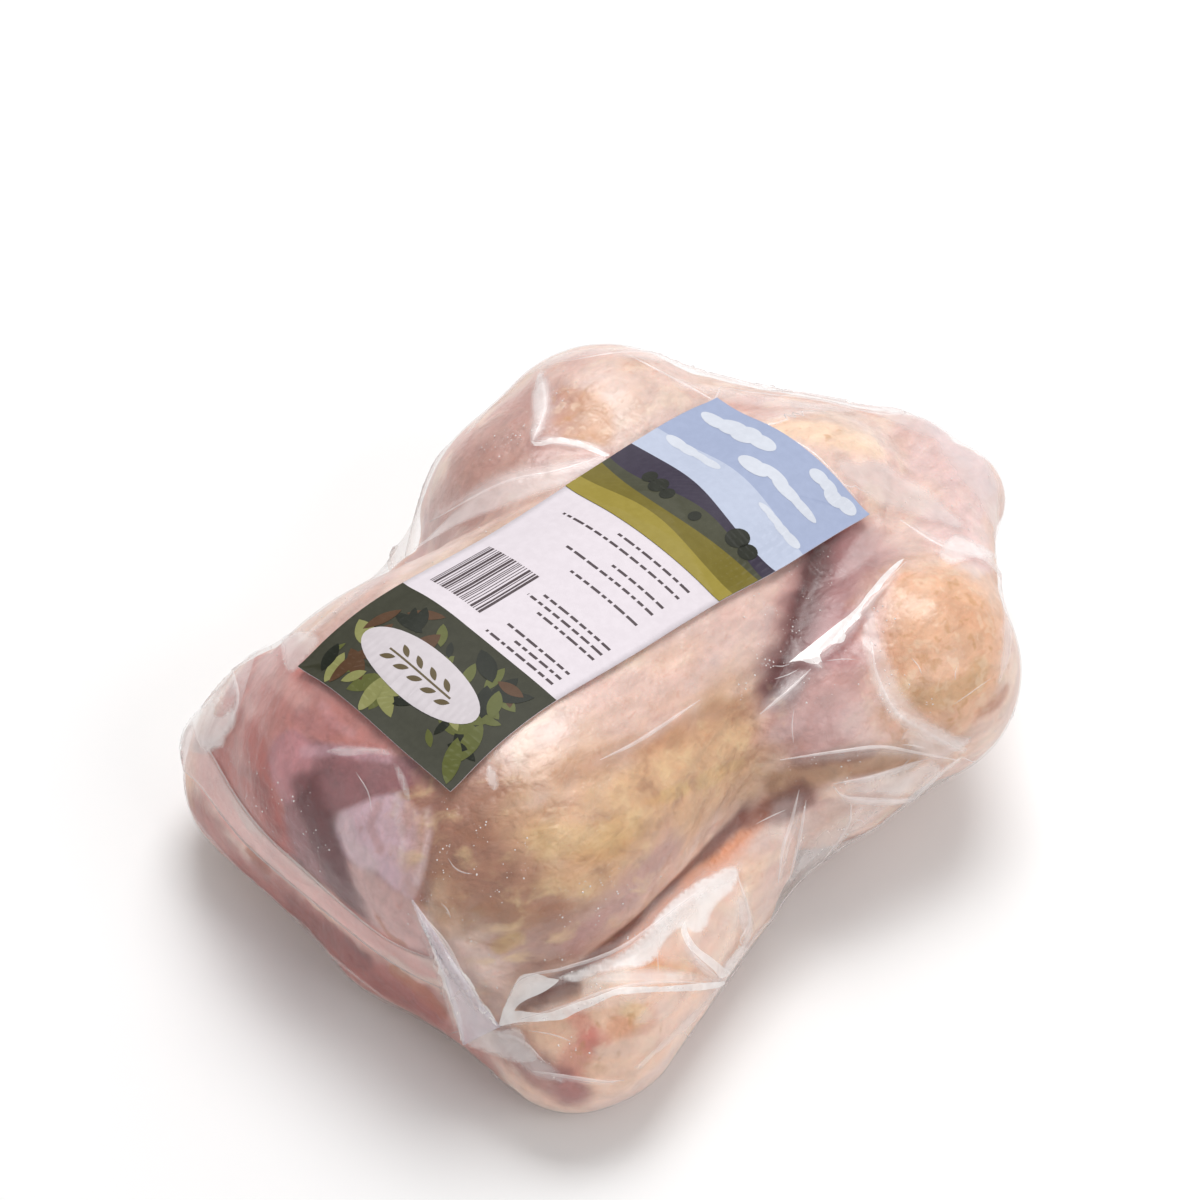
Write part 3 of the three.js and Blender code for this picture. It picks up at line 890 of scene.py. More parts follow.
def paintFlesh():
    tone = {name: linearTone(*value) for name, value in fleshTones.items()}
    drawn = skinPoints * np.array(fleshLook["grain"])
    broad, fine = noiseAt(drawn, fleshLook["broadSize"], 41, 3), noiseAt(drawn, fleshLook["fineSize"], 43, 3)
    tones = np.tile(tone["pale"], (len(skinPoints), 1))

    def paint(name, share):
        return tones + (tone[name] - tones) * share[:, None]

    tones = paint("pink", 0.6 * smoothStep(0.0, 0.8, broad))
    tones = paint("softTan", 0.6 * smoothStep(0.05, 0.8, -broad))
    tones = paint("cream", 0.5 * smoothStep(0.1, 0.7, fine))
    ragged = fleshLook["ragged"] * noiseAt(drawn, fleshLook["raggedSize"], 47, 2)
    for area in fleshAreas.values():
        depth = insideArea(skinSurface, skinPoints, area["route"]) + fleshLook["areaRagged"] * ragged
        tones = paint(area["tone"], area["strength"] * smoothStep(-area["soft"], area["soft"], depth))
    for route, stroke in layRoutes(skinSurface, fleshStrokes, farStrokes):
        distance, _ = fromRoute(skinPoints, route, stroke["width"] * fleshLook["strokeReach"])
        inner = stroke.get("crisp", fleshLook["softEdge"])
        reach = distance / stroke["width"] + ragged
        tones = paint(stroke["tone"], stroke["strength"] * smoothStep(fleshLook["edge"] - inner, inner, reach))
    fineShade, broadShade = fleshLook["shade"]
    shade = 1 + fineShade * noiseAt(drawn, fleshLook["shadeSize"], 53, 2) + broadShade * broad
    return np.clip(tones * shade[:, None] * np.array(fleshLook["tint"]), 0, 1)


# Where the skin is rippled with fat, and where it is stippled with feather pits.
skinMasks = readTable("mask width", """
breastLeft ripple 17: 452,812 470,880 520,930
breastLow ripple 18: 520,820 560,870 610,880
breastMiddle ripple 13: 600,830 680,780 760,740
breastFoot ripple 7: 640,1010 690,960 720,920
knee stipple 20: 930,600 960,650 930,700
farKnee stipple 8: 570,400 590,425
tail stipple 7: 800,430 860,445
wing stipple 8: 600,1045 650,1030
""")


def paintMask(name):
    mask = np.zeros(len(skinPoints))
    for stroke in skinMasks.values():
        if stroke["mask"] == name:
            route = castRoute(skinSurface, stroke["route"])
            distance, _ = fromRoute(skinPoints, route, stroke["width"] * fleshLook["maskReach"])
            mask = np.maximum(mask, smoothStep(*fleshLook["maskEdge"], distance / stroke["width"]))
    return mask


# How each mask's pattern is laid in: its range, its strongest share and its tone.
maskLayers = {
    "ripple": [(0.5, 0.74, 0.62, "ripplePale"), (0.47, 0.28, 0.45, "rippleShade")],
    "stipple": [(0.56, 0.68, 0.45, "ochre"), (0.45, 0.33, 0.35, "cream")],
}


def makeSkinMaterial():
    material, tree, shader, _ = startMaterial("moistSkin", {
        "Roughness": fleshLook["roughness"], "Subsurface Weight": fleshLook["scatter"],
        "Subsurface Radius": fleshLook["scatterRadius"], "Subsurface Scale": fleshLook["scatterScale"]})

    def stretched(kind, scale, turn=0.0):
        inputs = {"Vector": objectPlace(tree), "Scale": scale, "Rotation": (0, 0, math.radians(turn))}
        return addNode(tree, "Mapping", inputs, vector_type=kind).outputs["Vector"]

    place = stretched("POINT", fleshLook["grain"])
    mottle = addRange(tree, addNoise(tree, place, fleshLook["mottle"], 4, 0.6, 0.5), 0.3, 0.7, 0.9, 1.07)
    tone = addMix(tree, 1.0, readAttribute(tree, "fleshTone"), mottle, "MULTIPLY")
    vein = addRange(tree, addNoise(tree, place, fleshLook["vein"], 3, 0.6, 1.0), 0.56, 0.74, 0, 0.3)
    tone = addMix(tree, vein, tone, addMix(tree, 1.0, tone, linearTone(*fleshLook["veinTone"]), "MULTIPLY"))
    folds = stretched("TEXTURE", fleshLook["rippleStretch"], fleshLook["rippleTurn"])
    ripples = addNoise(tree, folds, fleshLook["rippleScale"], 3, 0.5, 0.35)
    spots = addNoise(tree, objectPlace(tree), fleshLook["stippleScale"], 2, 0.5, 0.4)
    masks = {name: readAttribute(tree, name, "Fac") for name in maskLayers}
    for name, pattern in (("ripple", ripples), ("stipple", spots)):
        for low, high, share, toneName in maskLayers[name]:
            part = addProduct(tree, masks[name], addRange(tree, pattern, low, high, 0, share))
            tone = addMix(tree, part, tone, linearTone(*fleshTones[toneName]))
    pores = addNode(tree, "TexVoronoi", {"Vector": objectPlace(tree), "Scale": fleshLook["poreScale"]})
    pits = addRange(tree, pores.outputs["Distance"], 0.1, 0.6, 1, 0)
    pored = addBump(tree, pits, 0.5, fleshLook["poreDepth"])
    wrinkles = addNoise(tree, place, fleshLook["creaseScale"], 4, 0.6, 0.8)
    creased = addBump(tree, wrinkles, 0.6, fleshLook["creaseDepth"], pored)
    rippled = addBump(tree, addProduct(tree, masks["ripple"], ripples), 0.7, fleshLook["rippleDepth"], creased)
    setInputs(tree, shader, {"Base Color": tone, "Normal": rippled})
    return material


chicken = addMesh("chicken", skinPoints, sphereFaces, makeSkinMaterial())
addPointTones(chicken, "fleshTone", paintFlesh())
for name in maskLayers:
    addPointValues(chicken, name, paintMask(name))
print("chicken painted")


# Film lets most light through, mirrors by its angle, and is milky where it stands off or folds.
filmShader = {
    "rise": 0.16, "mirrored": (0.024, 0.5), "gloss": 0.2, "milk": (252, 244, 243), "milkRoughness": 0.3,
    "wrinkleScale": 90, "wrinkleDepth": 0.001, "streakScale": 160,
}


def makeFilmMaterial(name, hazeFrom=None, milk=filmShader["milk"], steady=0.0):
    material, tree, shader, output = startMaterial(name, {
        "Base Color": (*linearTone(*milk), 1), "Roughness": filmShader["milkRoughness"]})
    place = objectPlace(tree)
    wrinkle = addNoise(tree, place, filmShader["wrinkleScale"], 3, 0.6, 1.2)
    normal = addBump(tree, wrinkle, 0.35, filmShader["wrinkleDepth"])
    setInputs(tree, shader, {"Normal": normal})
    clear = addNode(tree, "BsdfTransparent", {}).outputs[0]
    mirror = addNode(tree, "BsdfGlossy", {"Roughness": filmShader["gloss"], "Normal": normal}).outputs[0]
    slant = addNode(tree, "LayerWeight", {"Blend": filmShader["rise"], "Normal": normal}).outputs["Facing"]
    mirrored = addRange(tree, slant, 0, 1, *filmShader["mirrored"])
    streak = addNoise(tree, place, filmShader["streakScale"], 3, 0.5, 0.6)
    if hazeFrom:
        haze = readAttribute(tree, hazeFrom, "Fac")
        milkiness = addProduct(tree, haze, addRange(tree, streak, 0.3, 0.7, 0.85, 1.12))
    else:
        milkiness = addRange(tree, streak, 0.25, 0.75, steady * 0.8, steady * 1.15)
    body = mixShaders(tree, milkiness, clear, shader.outputs[0])
    setInputs(tree, output, {"Surface": mixShaders(tree, mirrored, body, mirror)})
    return material


film = addMesh("bag_film", filmPoints, sphereFaces, makeFilmMaterial("clearFilm", "haze"))
addPointValues(film, "haze", filmHaze)
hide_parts("bagged_chicken")
print("film made")


# Doubled strips of film: the sealed hem across the neck end and the tuck at the near corner.
filmStrips = {
    "sealed_hem": dict(
        upper=readRoute("193,722 216,761 239,800 267,835 305,870 344,905 383,936 414,952 438,959"),
        lower=readRoute("168,752 184,770 201,786 224,817 248,845 278,872 "
                        "313,901 344,926 383,956 414,975 446,990"),
        steady=(0.28, 0.13), milk=(255, 222, 216), lift=0.4,
    ),
    "corner_tuck": dict(
        upper=readRoute("413,898 452,958 480,1000 501,1026"),
        lower=readRoute("413,902 437,958 452,1005 464,1044"),
        steady=(0.2, 0.34), milk=(244, 236, 246), lift=0.7,
    ),
}
stripLook = {"along": 60, "across": 8, "thickness": 0.12}


# Faces between the rows of a grid of points that lie one row after the other.
def gridFaces(rowCount, across, start=0):
    corners = [start + i * across + j for i in range(rowCount - 1) for j in range(across - 1)]
    return [(corner, corner + 1, corner + across + 1, corner + across) for corner in corners]


def addThickness(piece, thickness):
    sheet = piece.modifiers.new("thickness", "SOLIDIFY")
    sheet.thickness = thickness * mm


def addStrip(name, upper, lower, steady, milk, lift):
    count, across = stripLook["along"], stripLook["across"] + 1
    routes = []
    for pixels in (upper, lower):
        route = smoothRoute(pixels, 3)
        marks = np.linspace(0, len(route) - 1, count)
        routes.append(np.stack([np.interp(marks, range(len(route)), route[:, k]) for k in (0, 1)], 1))
    points = []
    for first, last in zip(*routes):
        for j in range(across):
            place, normal = filmSurface.underNear(*(first + (last - first) * j / (across - 1)))
            points.append(place + normal * lift)
    strip = addMesh(name, points, gridFaces(count, across), makeFilmMaterial(name + "Film", "haze", milk))
    haze = steady[0] + (steady[1] - steady[0]) * np.linspace(0, 1, count) ** 0.6
    addPointValues(strip, "haze", np.repeat(haze, across))
    addThickness(strip, stripLook["thickness"])
    strip.visible_shadow = False


for name, strip in filmStrips.items():
    addStrip(name, **strip)
print("strips laid")


# Sharp creases stand on the film as slender ribbons: main ones along the folds and strips, and fine ones
# that fan out from the places named here with their spread and number.
creaseLook = {
    "width": 0.5, "height": 0.45, "foot": 0.08, "steady": 0.42, "seed": 5,
    "minorLength": (14, 46), "minorBend": 0.22, "minorWidth": 0.2, "minorHeight": 0.16,
}
creaseCentres = [
    ((499, 1025), 60, 5), ((746, 947), 50, 5), ((955, 757), 90, 7), ((800, 800), 60, 4), ((806, 664), 40, 3),
    ((463, 1040), 40, 2), ((592, 449), 40, 2), ((930, 730), 50, 2), ((660, 990), 50, 2),
]
fineCreases = readRoutes(
    "448,858 454,867 462,872 472,874", "441,903 447,909 451,918",
    "416,906 424,916 428,930", "356,772 368,792 372,812")
stripCreases = [filmStrips["sealed_hem"][side] for side in ("upper", "lower")] + readRoutes(
    "416,905 444,960 470,1005 482,1034", "420,912 450,950 474,1010 470,1040", "480,1030 520,1040 545,1062")


def addRibbon(points, faces, route, width, height):
    count = len(route)
    if count < 3:
        return
    faces += gridFaces(count, 3, len(points))
    for i, place in enumerate(route):
        ahead = route[min(i + 1, count - 1)] - route[max(i - 1, 0)]
        normal = np.array(filmSurface.nearest(place)[1])
        across = np.cross(normal, ahead)
        across /= max(np.linalg.norm(across), 1e-6)
        taper = math.sin(math.pi * min(max(i / (count - 1), 0.03), 0.97)) ** 0.6
        for side, rise in ((-1, creaseLook["foot"]), (0, 0.1 + height * taper), (1, creaseLook["foot"])):
            points.append(place + across * side * width * taper + normal * rise)


def addCreases():
    draw = random.Random(creaseLook["seed"])
    points, faces = [], []
    main = (creaseLook["width"], creaseLook["height"])
    minor = (creaseLook["minorWidth"], creaseLook["minorHeight"])
    for pixels in [fold["route"] for fold in viewFolds.values()] + stripCreases:
        addRibbon(points, faces, castRoute(filmSurface, pixels, 3), *main)
    for pixels in fineCreases:
        addRibbon(points, faces, castRoute(filmSurface, pixels, 3), *minor)
    for route, _ in fanRoutes(filmSurface, 1.5):
        addRibbon(points, faces, route, *main)
    for (px, py), spread, count in creaseCentres:
        for _ in range(count):
            turn, away = draw.uniform(0, 2 * math.pi), draw.uniform(4, spread)
            first = (px + away * math.cos(turn), py + away * math.sin(turn))
            length = draw.uniform(*creaseLook["minorLength"])
            bend = draw.uniform(-creaseLook["minorBend"], creaseLook["minorBend"])
            far = (first[0] + length * math.cos(turn + bend), first[1] + length * math.sin(turn + bend))
            middle = [(first[k] + far[k]) / 2 + draw.uniform(-2, 2) for k in (0, 1)]
            route = castRoute(filmSurface, [first, middle, far], 4)
            if isBesideLabel(route):
                addRibbon(points, faces, route, *minor)
    material = makeFilmMaterial("creasedFilm", steady=creaseLook["steady"])
    creases = addMesh("film_creases", points, faces, material)
    creases.visible_shadow = False


# A flat outline in triangles that are also cut along evenly spaced lines, so that it can be draped.
def cutSheet(outline, directions, cell):
    sheet = bmesh.new()
    sheet.faces.new([sheet.verts.new((x, y, 0)) for x, y in outline])
    bmesh.ops.triangulate(sheet, faces=sheet.faces[:])
    for a, b in directions:
        along = outline @ (a, b) / cell
        for k in range(math.floor(along.min() + 1e-4) + 1, math.ceil(along.max() - 1e-4)):
            parts = sheet.verts[:] + sheet.edges[:] + sheet.faces[:]
            middle = Vector((a, b, 0)) * k * cell / (a + b)
            bmesh.ops.bisect_plane(sheet, geom=parts, plane_co=middle, plane_no=(a, b, 0))
    bmesh.ops.triangulate(sheet, faces=sheet.faces[:])
    sheet.verts.index_update()
    flat = np.array([vert.co[:2] for vert in sheet.verts])
    faces = [[vert.index for vert in face.verts] for face in sheet.faces]
    sheet.free()
    return flat, faces


# Adds draped points and their faces, each turned to face the given way.
def addSheet(points, faces, draped, corners, way):
    start = len(points)
    points += draped
    for face in corners:
        across = np.cross(draped[face[1]] - draped[face[0]], draped[face[2]] - draped[face[0]])
        faces.append([start + c for c in (face[::-1] if across @ way < 0 else face)])


# Crisp milky patches draped over the bag: painted highlights and sheen where the folded film catches the light,
# over film that lies doubled, dry or stretched white.
filmGleams = readTable("steady soft", """
wingFlap 0.74 0: 499,1026 504,1008 512,992 520,976 534,973 548,977 559,979 552,986 541,993 527,999 517,1006
    512,1015
wingBand 0.78 0: 499,1026 520,1022 545,1020 562,1019 576,1012 592,1005 604,999 622,994 642,992 668,991
    694,990 718,987 724,981 700,983 670,986 640,987 620,988 606,993 590,999 574,1003 560,1009 546,1013
    530,1012 512,1011
wingCrest 0.78 3: 554,977 579,968 600,960 619,952 634,942 647,928 657,914 669,901 683,889 697,880 710,874
    724,867 735,866 739,876 733,890 722,900 712,912 706,928 694,934 682,928 672,934 662,946 655,960 640,968
    620,970 600,974 576,982
wingVeil 0.3 10: 650,930 680,900 712,880 738,872 746,900 742,930 730,955 722,970 700,968 670,966 652,960
wingFoot 0.55 8: 560,982 590,974 620,968 656,966 690,971 716,978 724,982 690,984 650,987 618,987 596,984
wingArm 0.62 0: 684,921 688,935 697,948 710,957 722,967 729,972 720,978 711,969 697,957 686,945 680,930
wingCorner 0.45 3: 738,944 747,948 737,962 727,975 720,966 730,954
thighFlash 0.85 0: 812,657 818,650 826,642 831,633 837,625 847,618 857,609 863,602 867,596 873,589 881,579
    890,570 898,563 904,560 898,569 890,577 884,584 879,591 870,598 864,606 861,614 856,621 849,628 845,634
    843,642 834,644 827,648 819,655 821,662 812,664 800,661 789,663 797,659 804,654
kneeFlash 0.5 4: 936,557 944,543 955,535 968,539 981,546 993,554 996,559 984,560 972,560 962,563 950,567
    942,563
kneeBand 0.34 6: 866,622 872,645 878,668 888,690 902,708 920,718 945,728 964,742 960,752 938,744 912,736
    894,722 880,702 870,680 864,655 860,632
cornerFlash 0.75 0: 443,948 450,957 459,968 469,977 476,990 481,1002 487,1005 493,1014 498,1025 489,1017
    481,1010 477,1000 470,989 461,977 452,966
cornerLine 0.6 0: 419,912 424,920 434,944 443,966 452,988 459,1006 463,1022 465,1040 461,1038 457,1020
    450,1000 443,984 436,962 428,938
cornerApron 0.4 3: 466,1044 474,1034 486,1028 502,1028 519,1026 530,1040 540,1058 520,1062 500,1056 482,1050
farFlash 0.5 6: 541,374 548,384 550,398 547,414 541,428 536,440 531,443 530,436 534,424 531,408 533,392
farArc 0.5 0: 531,442 540,443 552,439 568,440 584,444 598,450 610,457 604,458 590,452 574,446 556,444 542,447
    535,447
neckRim 0.46 4: 168,756 174,738 186,722 202,708 220,694 236,676 250,654 262,646 250,662 238,680 226,698
    218,714 226,714 233,706 239,714 237,728 229,738 226,748 214,750 208,756 198,742 190,728 180,742
neckNotch 0.4 4: 282,640 300,632 322,640 310,660 296,674 288,672 284,658
lobeGleam 0.35 2: 394,762 400,766 409,782 412,802 406,796 399,780
membraneGleam 0.35 2: 324,752 344,746 366,747 388,750 393,756 370,755 346,757
waistShine 0.3 4: 836,786 870,776 910,764 932,758 940,770 915,792 880,795 850,793
labelNick 0.45 2: 488,764 496,772 500,786 494,792 486,780
""")
gleamLook = {"cell": 5, "lift": 0.3, "apart": 0.03, "milk": (254, 249, 247)}


def addGleams():
    points, values, faces = [], [], []
    for layer, gleam in enumerate(filmGleams.values()):
        outline = smoothOutline(gleam["route"])
        flat, corners = cutSheet(outline, ((1, 0), (0, 1)), gleamLook["cell"])
        depth = insideBy(flat[:, 0], flat[:, 1], outline)
        share = smoothStep(-0.5, gleam["soft"], depth) if gleam["soft"] else np.ones(len(flat))
        values += (gleam["steady"] * share).tolist()
        lift = gleamLook["lift"] + gleamLook["apart"] * layer
        draped = [place + normal * lift for place, normal in (filmSurface.underNear(px, py) for px, py in flat)]
        addSheet(points, faces, draped, corners, viewBack)
    gleams = addMesh("film_gleams", points, faces, makeFilmMaterial("dryFilmAndHighlight", "haze", gleamLook["milk"]))
    addPointValues(gleams, "haze", values)
    gleams.visible_shadow = False


addGleams()
print("gleams draped")
addCreases()
print("film creased")


# Tiny beads of moisture on the film, scattered round routes along its hollows and folds, made milky white as
# painted glints.
beadLook = {
    "clusters": 240, "most": 8, "spread": 20, "apart": 5, "radius": (0.1, 0.34), "flatten": 0.5, "seed": 9,
    "lift": 0.1, "milk": (255, 250, 248), "steady": 0.7,
}
beadRoutes = readRoutes(
    "800,560 790,640 760,700", "860,600 900,700 950,745", "790,760 850,800 800,860",
    "520,1010 600,975 700,900", "420,900 480,1000 560,1070", "200,700 260,800 340,900",
    "470,470 530,420 590,400", "450,830 560,900 660,850", "240,650 320,620 400,570", "880,460 950,500 980,560")


def addBeads():
    draw = random.Random(beadLook["seed"])
    ball = bmesh.new()
    bmesh.ops.create_icosphere(ball, subdivisions=1, radius=1)
    ball.verts.index_update()
    corners = np.array([vert.co[:] for vert in ball.verts])
    triangles = np.array([[vert.index for vert in face.verts] for face in ball.faces])
    ball.free()
    points, faces = [], []
    low, high = beadLook["radius"]
    for k in range(beadLook["clusters"]):
        px, py = draw.choice(smoothRoute(beadRoutes[k % len(beadRoutes)], 4).tolist())
        px, py = px + draw.gauss(0, beadLook["spread"]), py + draw.gauss(0, beadLook["spread"])
        for _ in range(draw.randint(1, beadLook["most"])):
            right, down = draw.gauss(0, beadLook["apart"]), draw.gauss(0, beadLook["apart"])
            place, normal = filmSurface.under(px + right, py + down)
            radius = low + (high - low) * draw.random() ** 3
            if place is None or not isBesideLabel(np.array([place])):
                continue
            place, normal = np.array(place), np.array(normal)
            bead = corners * radius
            bead -= np.outer(bead @ normal, normal) * (1 - beadLook["flatten"])
            faces += (triangles + len(corners) * len(points)).tolist()
            points.append(bead + place + normal * beadLook["lift"])
    material = makeFilmMaterial("moisture", milk=beadLook["milk"], steady=beadLook["steady"])
    addMesh("moisture_beads", np.concatenate(points), faces, material)


addBeads()
print("beads set")


def toBag(u, v):
    return np.array(labelPlan["middle"]) + u * labelAlong + v * labelAside


# The label: a fine sheet that follows the film, with its print laid over it as thin coloured fields.
def makeLabelHeights():
    along = np.linspace(-halfLength, halfLength, int(labelPlan["length"] / labelPlan["cell"]) + 1)
    aside = np.linspace(-halfWidth, halfWidth, int(labelPlan["width"] / labelPlan["cell"]) + 1)
    carried = np.array([[filmSurface.below(*toBag(u, v))[0].z for v in aside] for u in along])
    heights = carried
    for _ in range(labelPlan["smoothings"]):
        padded = np.pad(heights, 1, mode="edge")
        around = padded[2:, 1:-1] + padded[:-2, 1:-1] + padded[1:-1, 2:] + padded[1:-1, :-2]
        heights = np.maximum(around / 4, carried)
    waves = [[abs(noise.noise(Vector((u / 24 + v / 60, v / 30 - u / 80, 3)))) for v in aside] for u in along]
    return along, aside, heights + labelPlan["wrinkle"] * np.array(waves) + labelPlan["lift"]


labelUs, labelVs, labelHeights = makeLabelHeights()
labelCorner = np.array([labelUs[0], labelVs[0]])
labelSteps = np.array([labelUs[1] - labelUs[0], labelVs[1] - labelVs[0]])


# The sheet is flat between its rows, columns and one diagonal of each cell.
def onLabel(u, v, lift):
    i = min(max((u - labelUs[0]) / labelSteps[0], 0), len(labelUs) - 1.00001)
    j = min(max((v - labelVs[0]) / labelSteps[1], 0), len(labelVs) - 1.00001)
    i0, j0, s, t = int(i), int(j), i % 1, j % 1
    (first, besides), (ahead, last) = labelHeights[i0:i0 + 2, j0:j0 + 2]
    if s + t <= 1:
        height = first + s * (ahead - first) + t * (besides - first)
    else:
        height = last + (1 - s) * (besides - last) + (1 - t) * (ahead - last)
    return np.array([*toBag(u, v), height + lift])


labelTones = {
    "paper": (222, 213, 219), "sky": (156, 167, 196), "skyPale": (184, 192, 212), "cloud": (208, 212, 222),
    "farHill": (52, 44, 62), "midHill": (66, 66, 48), "meadow": (112, 100, 30), "meadowPale": (150, 134, 52),
    "tree": (34, 36, 26), "darkField": (46, 46, 28), "leafOlive": (92, 96, 46), "leafDark": (24, 28, 16),
    "leafPale": (138, 138, 84), "leafBrown": (84, 56, 34), "plaque": (206, 198, 202), "sprig": (92, 78, 48),
    "ink": (74, 62, 66),
}
printSlots = list(labelTones)
printLook = {"lift": 0.03, "speckleScale": 420, "speckle": 0.14, "paler": 34, "roughness": 0.45, "mirror": 0.25}


def makeLabelMaterials():
    made = []
    for name, tone in labelTones.items():
        material, tree, shader, _ = startMaterial("label_" + name, {
            "Roughness": printLook["roughness"], "Specular IOR Level": printLook["mirror"]})
        grain = addNoise(tree, objectPlace(tree), printLook["speckleScale"])
        speckle = addRange(tree, grain, 0.3, 0.75, 0, printLook["speckle"])
        paler = [min(255, channel + printLook["paler"]) for channel in tone]
        setInputs(tree, shader, {"Base Color": addMix(tree, speckle, linearTone(*tone), linearTone(*paler))})
        made.append(material)
    return made


class Print:
    def __init__(self):
        self.points, self.faces, self.slots = [], [], []

    def add(self, outline, tone, layer):
        flat, corners = cutSheet((np.array(outline) - labelCorner) / labelSteps, ((1, 0), (0, 1), (1, 1)), 1)
        draped = [onLabel(*(spot * labelSteps + labelCorner), printLook["lift"] * layer) for spot in flat]
        addSheet(self.points, self.faces, draped, corners, (0, 0, 1))
        self.slots += [printSlots.index(tone)] * len(corners)


def clipToLabel(outline, highest=halfLength):
    return [(min(max(u, -halfLength), highest), min(max(v, -halfWidth), halfWidth)) for u, v in outline]


def blockOutline(u0, v0, u1, v1):
    return [(u0, v0), (u1, v0), (u1, v1), (u0, v1)]


def ovalOutline(u, v, along, aside, count=28):
    angles = [2 * math.pi * k / count for k in range(count)]
    return [(u + along * math.cos(angle), v + aside * math.sin(angle)) for angle in angles]


def leafOutline(u, v, length, breadth, turn, count=9):
    sides = []
    c, s = math.cos(turn), math.sin(turn)
    for side in (1, -1):
        for k in range(count):
            t = k / count if side > 0 else 1 - k / count
            x, y = length * (t - 0.5), side * breadth / 2 * math.sin(math.pi * t) ** 0.8
            sides.append((u + x * c - y * s, v + x * s + y * c))
    return sides


# A field whose upper side rolls like a hill line across the label.
def hillOutline(low, middle, swell, waves, phase, count=48):
    made = [(low, halfWidth), (low, -halfWidth)]
    for k in range(count + 1):
        v = -halfWidth + 2 * halfWidth * k / count
        made.append((middle + swell * math.sin(waves * v / halfWidth + phase), v))
    return made


# Hills and haze: middle, swell, waves and phase. Clouds and plaque: place, half length and half width.
# Trees: place and size. Bars: both corners. Rows of dashes: place along the label, start and end across it.
labelFields = {
    "darkEnd": -42, "sceneStart": 19, "seed": 7,
    "leafCount": 70, "leafSize": (5, 13), "leafInset": 5, "plaque": (-62, 1, 8.2, 22),
    "hills": [("farHill", 44, 3.0, 2.4, 0.4), ("midHill", 38, 2.0, 3.3, 2.0), ("meadow", 33, 1.6, 2.2, 4.2),
              ("meadowPale", 26, 1.8, 2.9, 1.0)],
    "clouds": [(72, 14, 4.5, 13), (64, -10, 3.2, 14), (56, 16, 2.4, 10), (54, -20, 2.0, 8), (75, -20, 3.0, 8)],
    "trees": [(39, -22, 3.2), (40, -17, 4.0), (37, 8, 2.6), (38, 12.5, 3.4), (39, 17, 2.6), (36, -4, 2.2)],
    "haze": (54, 4, 1.6, 1.2), "bars": (-36, 6, -14, 27),
    "sprig": {"stem": (0.3, 12), "leaves": 9, "from": 11, "step": 2.7, "aside": 2.2, "leaf": (4.6, 1.7),
              "turn": 1.05},
    "rows": [(14, -24, 4), (10, -24, 22), (4, -24, -4), (0, -24, 10), (-6, -24, 2), (-18, -26, 0),
             (-21, -26, 3), (-24, -26, -4), (-33, -26, -2), (-36, -26, -8), (-39, -26, 0)],
}


def printLabel():
    draw = random.Random(labelFields["seed"])
    sheet = Print()
    darkEnd, sceneStart, inset = labelFields["darkEnd"], labelFields["sceneStart"], labelFields["leafInset"]
    sheet.add(blockOutline(-halfLength, -halfWidth, darkEnd, halfWidth), "darkField", 1)
    for k in range(labelFields["leafCount"]):
        length = draw.uniform(*labelFields["leafSize"])
        u = draw.uniform(-halfLength + inset, darkEnd - inset)
        v = draw.uniform(-halfWidth + inset, halfWidth - inset)
        tone = draw.choice(["leafOlive", "leafDark", "leafPale", "leafBrown", "leafOlive"])
        leaf = leafOutline(u, v, length, length * draw.uniform(0.3, 0.45), draw.uniform(0, math.pi))
        sheet.add(clipToLabel(leaf, darkEnd), tone, 2 + 0.04 * k)
    u, v, along, aside = labelFields["plaque"]
    sheet.add(ovalOutline(u, v, along, aside, 44), "plaque", 6)
    sprig = labelFields["sprig"]
    half, reach = sprig["stem"]
    sheet.add(blockOutline(u - half, v - reach, u + half, v + reach), "sprig", 7)
    for k in range(sprig["leaves"]):
        side = 1 if k % 2 else -1
        spot = (u + side * sprig["aside"], v - sprig["from"] + k * sprig["step"])
        sheet.add(leafOutline(*spot, *sprig["leaf"], side * sprig["turn"]), "sprig", 7.5)
    sheet.add(blockOutline(sceneStart, -halfWidth, halfLength, halfWidth), "sky", 1)
    sheet.add(hillOutline(sceneStart + 2, *labelFields["haze"]), "skyPale", 2)
    for u, v, along, aside in labelFields["clouds"]:
        for k in range(4):
            beside = aside * (k - 1.5) * 0.45
            puff = ovalOutline(u + draw.uniform(-1, 1), v + beside, along * draw.uniform(0.5, 0.9), aside * 0.4)
            sheet.add(clipToLabel(puff), "cloud", 3 + 0.2 * k)
    for layer, (tone, *hill) in enumerate(labelFields["hills"]):
        sheet.add(hillOutline(sceneStart, *hill), tone, 4 + layer)
    for u, v, size in labelFields["trees"]:
        sheet.add(ovalOutline(u, v, size, size * 0.8, 18), "tree", 8)
    u0, v, u1, end = labelFields["bars"]
    while v < end:
        breadth = draw.choice([0.3, 0.3, 0.6, 0.9])
        sheet.add(blockOutline(u0, v, u1, v + breadth), "ink", 1)
        v += breadth + draw.choice([0.35, 0.35, 0.7])
    for u, v, end in labelFields["rows"]:
        while v < end:
            breadth = draw.uniform(1.2, 4.2)
            sheet.add(blockOutline(u - 0.45, v, u + 0.45, min(v + breadth, end)), "ink", 1)
            v += breadth + 0.9
    return sheet


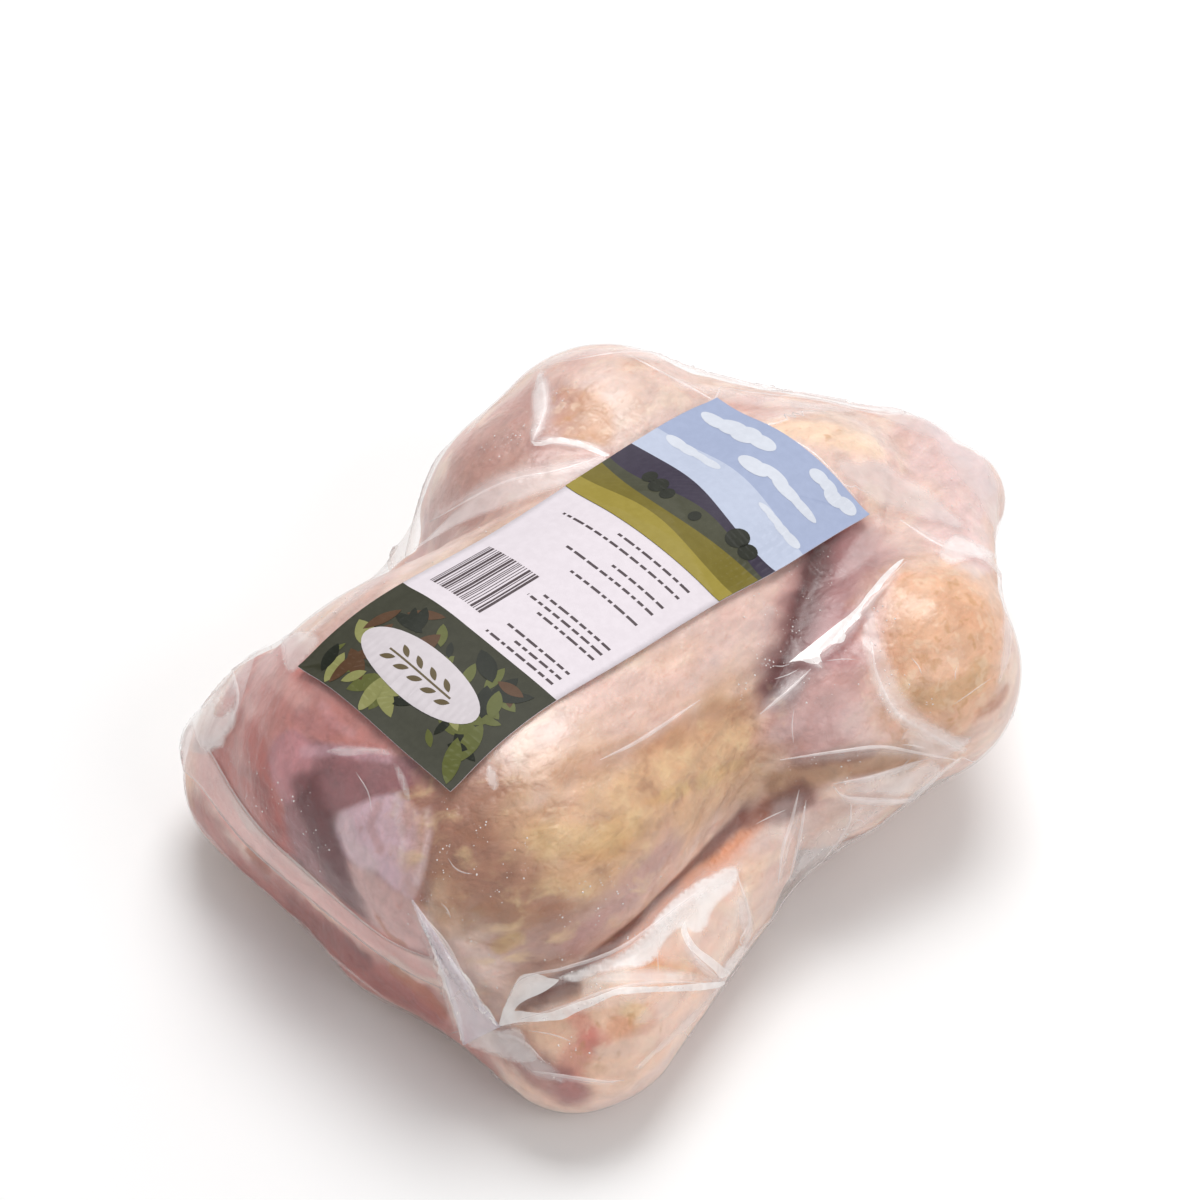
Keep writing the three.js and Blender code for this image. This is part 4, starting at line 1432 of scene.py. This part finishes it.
def addLabel():
    materials = makeLabelMaterials()
    across = len(labelVs)
    faces = []
    for corner, beside, opposite, ahead in gridFaces(len(labelUs), across):
        faces += [(corner, ahead, beside), (ahead, opposite, beside)]
    label = addMesh("label_sheet", [onLabel(u, v, 0) for u in labelUs for v in labelVs], faces, materials[0])
    addThickness(label, labelPlan["thickness"])
    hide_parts("label")
    made = printLabel()
    fields = addMesh("label_print", made.points, made.faces, materials[0])
    for material in materials[1:]:
        fields.data.materials.append(material)
    for polygon, slot in zip(fields.data.polygons, made.slots):
        polygon.material_index = slot


addLabel()
print("label printed")


# A white floor and soft boxes of light, set round the bag by azimuth and elevation in degrees.
floorLook = {"size": 8.0, "tone": 0.97, "below": 0.02}
softBoxes = {
    "key": dict(azimuth=32, elevation=69, distance=2.2, size=(1.2, 1.0), power=29),
    "side": dict(azimuth=-85, elevation=42, distance=2.2, size=(1.2, 0.8), power=9),
    "backStrip": dict(azimuth=40, elevation=42, distance=1.8, size=(1.2, 0.25), power=2.5),
}
worldStrength = 0.42


def addStage():
    material = startMaterial("paleFloor", {
        "Base Color": (floorLook["tone"],) * 3 + (1,), "Roughness": 1.0, "Specular IOR Level": 0.0})[0]
    half, z = floorLook["size"] / 2, -floorLook["below"] * mm
    mesh = bpy.data.meshes.new("floor")
    corners = [(x, y, z) for x, y in blockOutline(-half, -half, half, half)]
    mesh.from_pydata(corners, [], [(0, 1, 2, 3)])
    mesh.materials.append(material)
    floor = addObject("floor", mesh)


def addLights():
    world = bpy.data.worlds.new("studio")
    world.use_nodes = True
    background = world.node_tree.nodes["Background"]
    setInputs(world.node_tree, background, {"Color": (1, 1, 1, 1), "Strength": worldStrength})
    bpy.context.scene.world = world
    for name, box in softBoxes.items():
        data = bpy.data.lights.new(name, "AREA")
        data.shape = "RECTANGLE"
        data.size, data.size_y = box["size"]
        data.energy = box["power"]
        light = addObject(name, data)
        turn, rise = math.radians(box["azimuth"]), math.radians(box["elevation"])
        away = Vector((math.cos(turn) * math.cos(rise), math.sin(turn) * math.cos(rise), math.sin(rise)))
        light.location = away * box["distance"]
        light.rotation_mode = "QUATERNION"
        light.rotation_quaternion = (-away).to_track_quat("-Z", "Y")
    bpy.context.scene.view_settings.view_transform = "Standard"


addStage()
addLights()
print("stage lit")
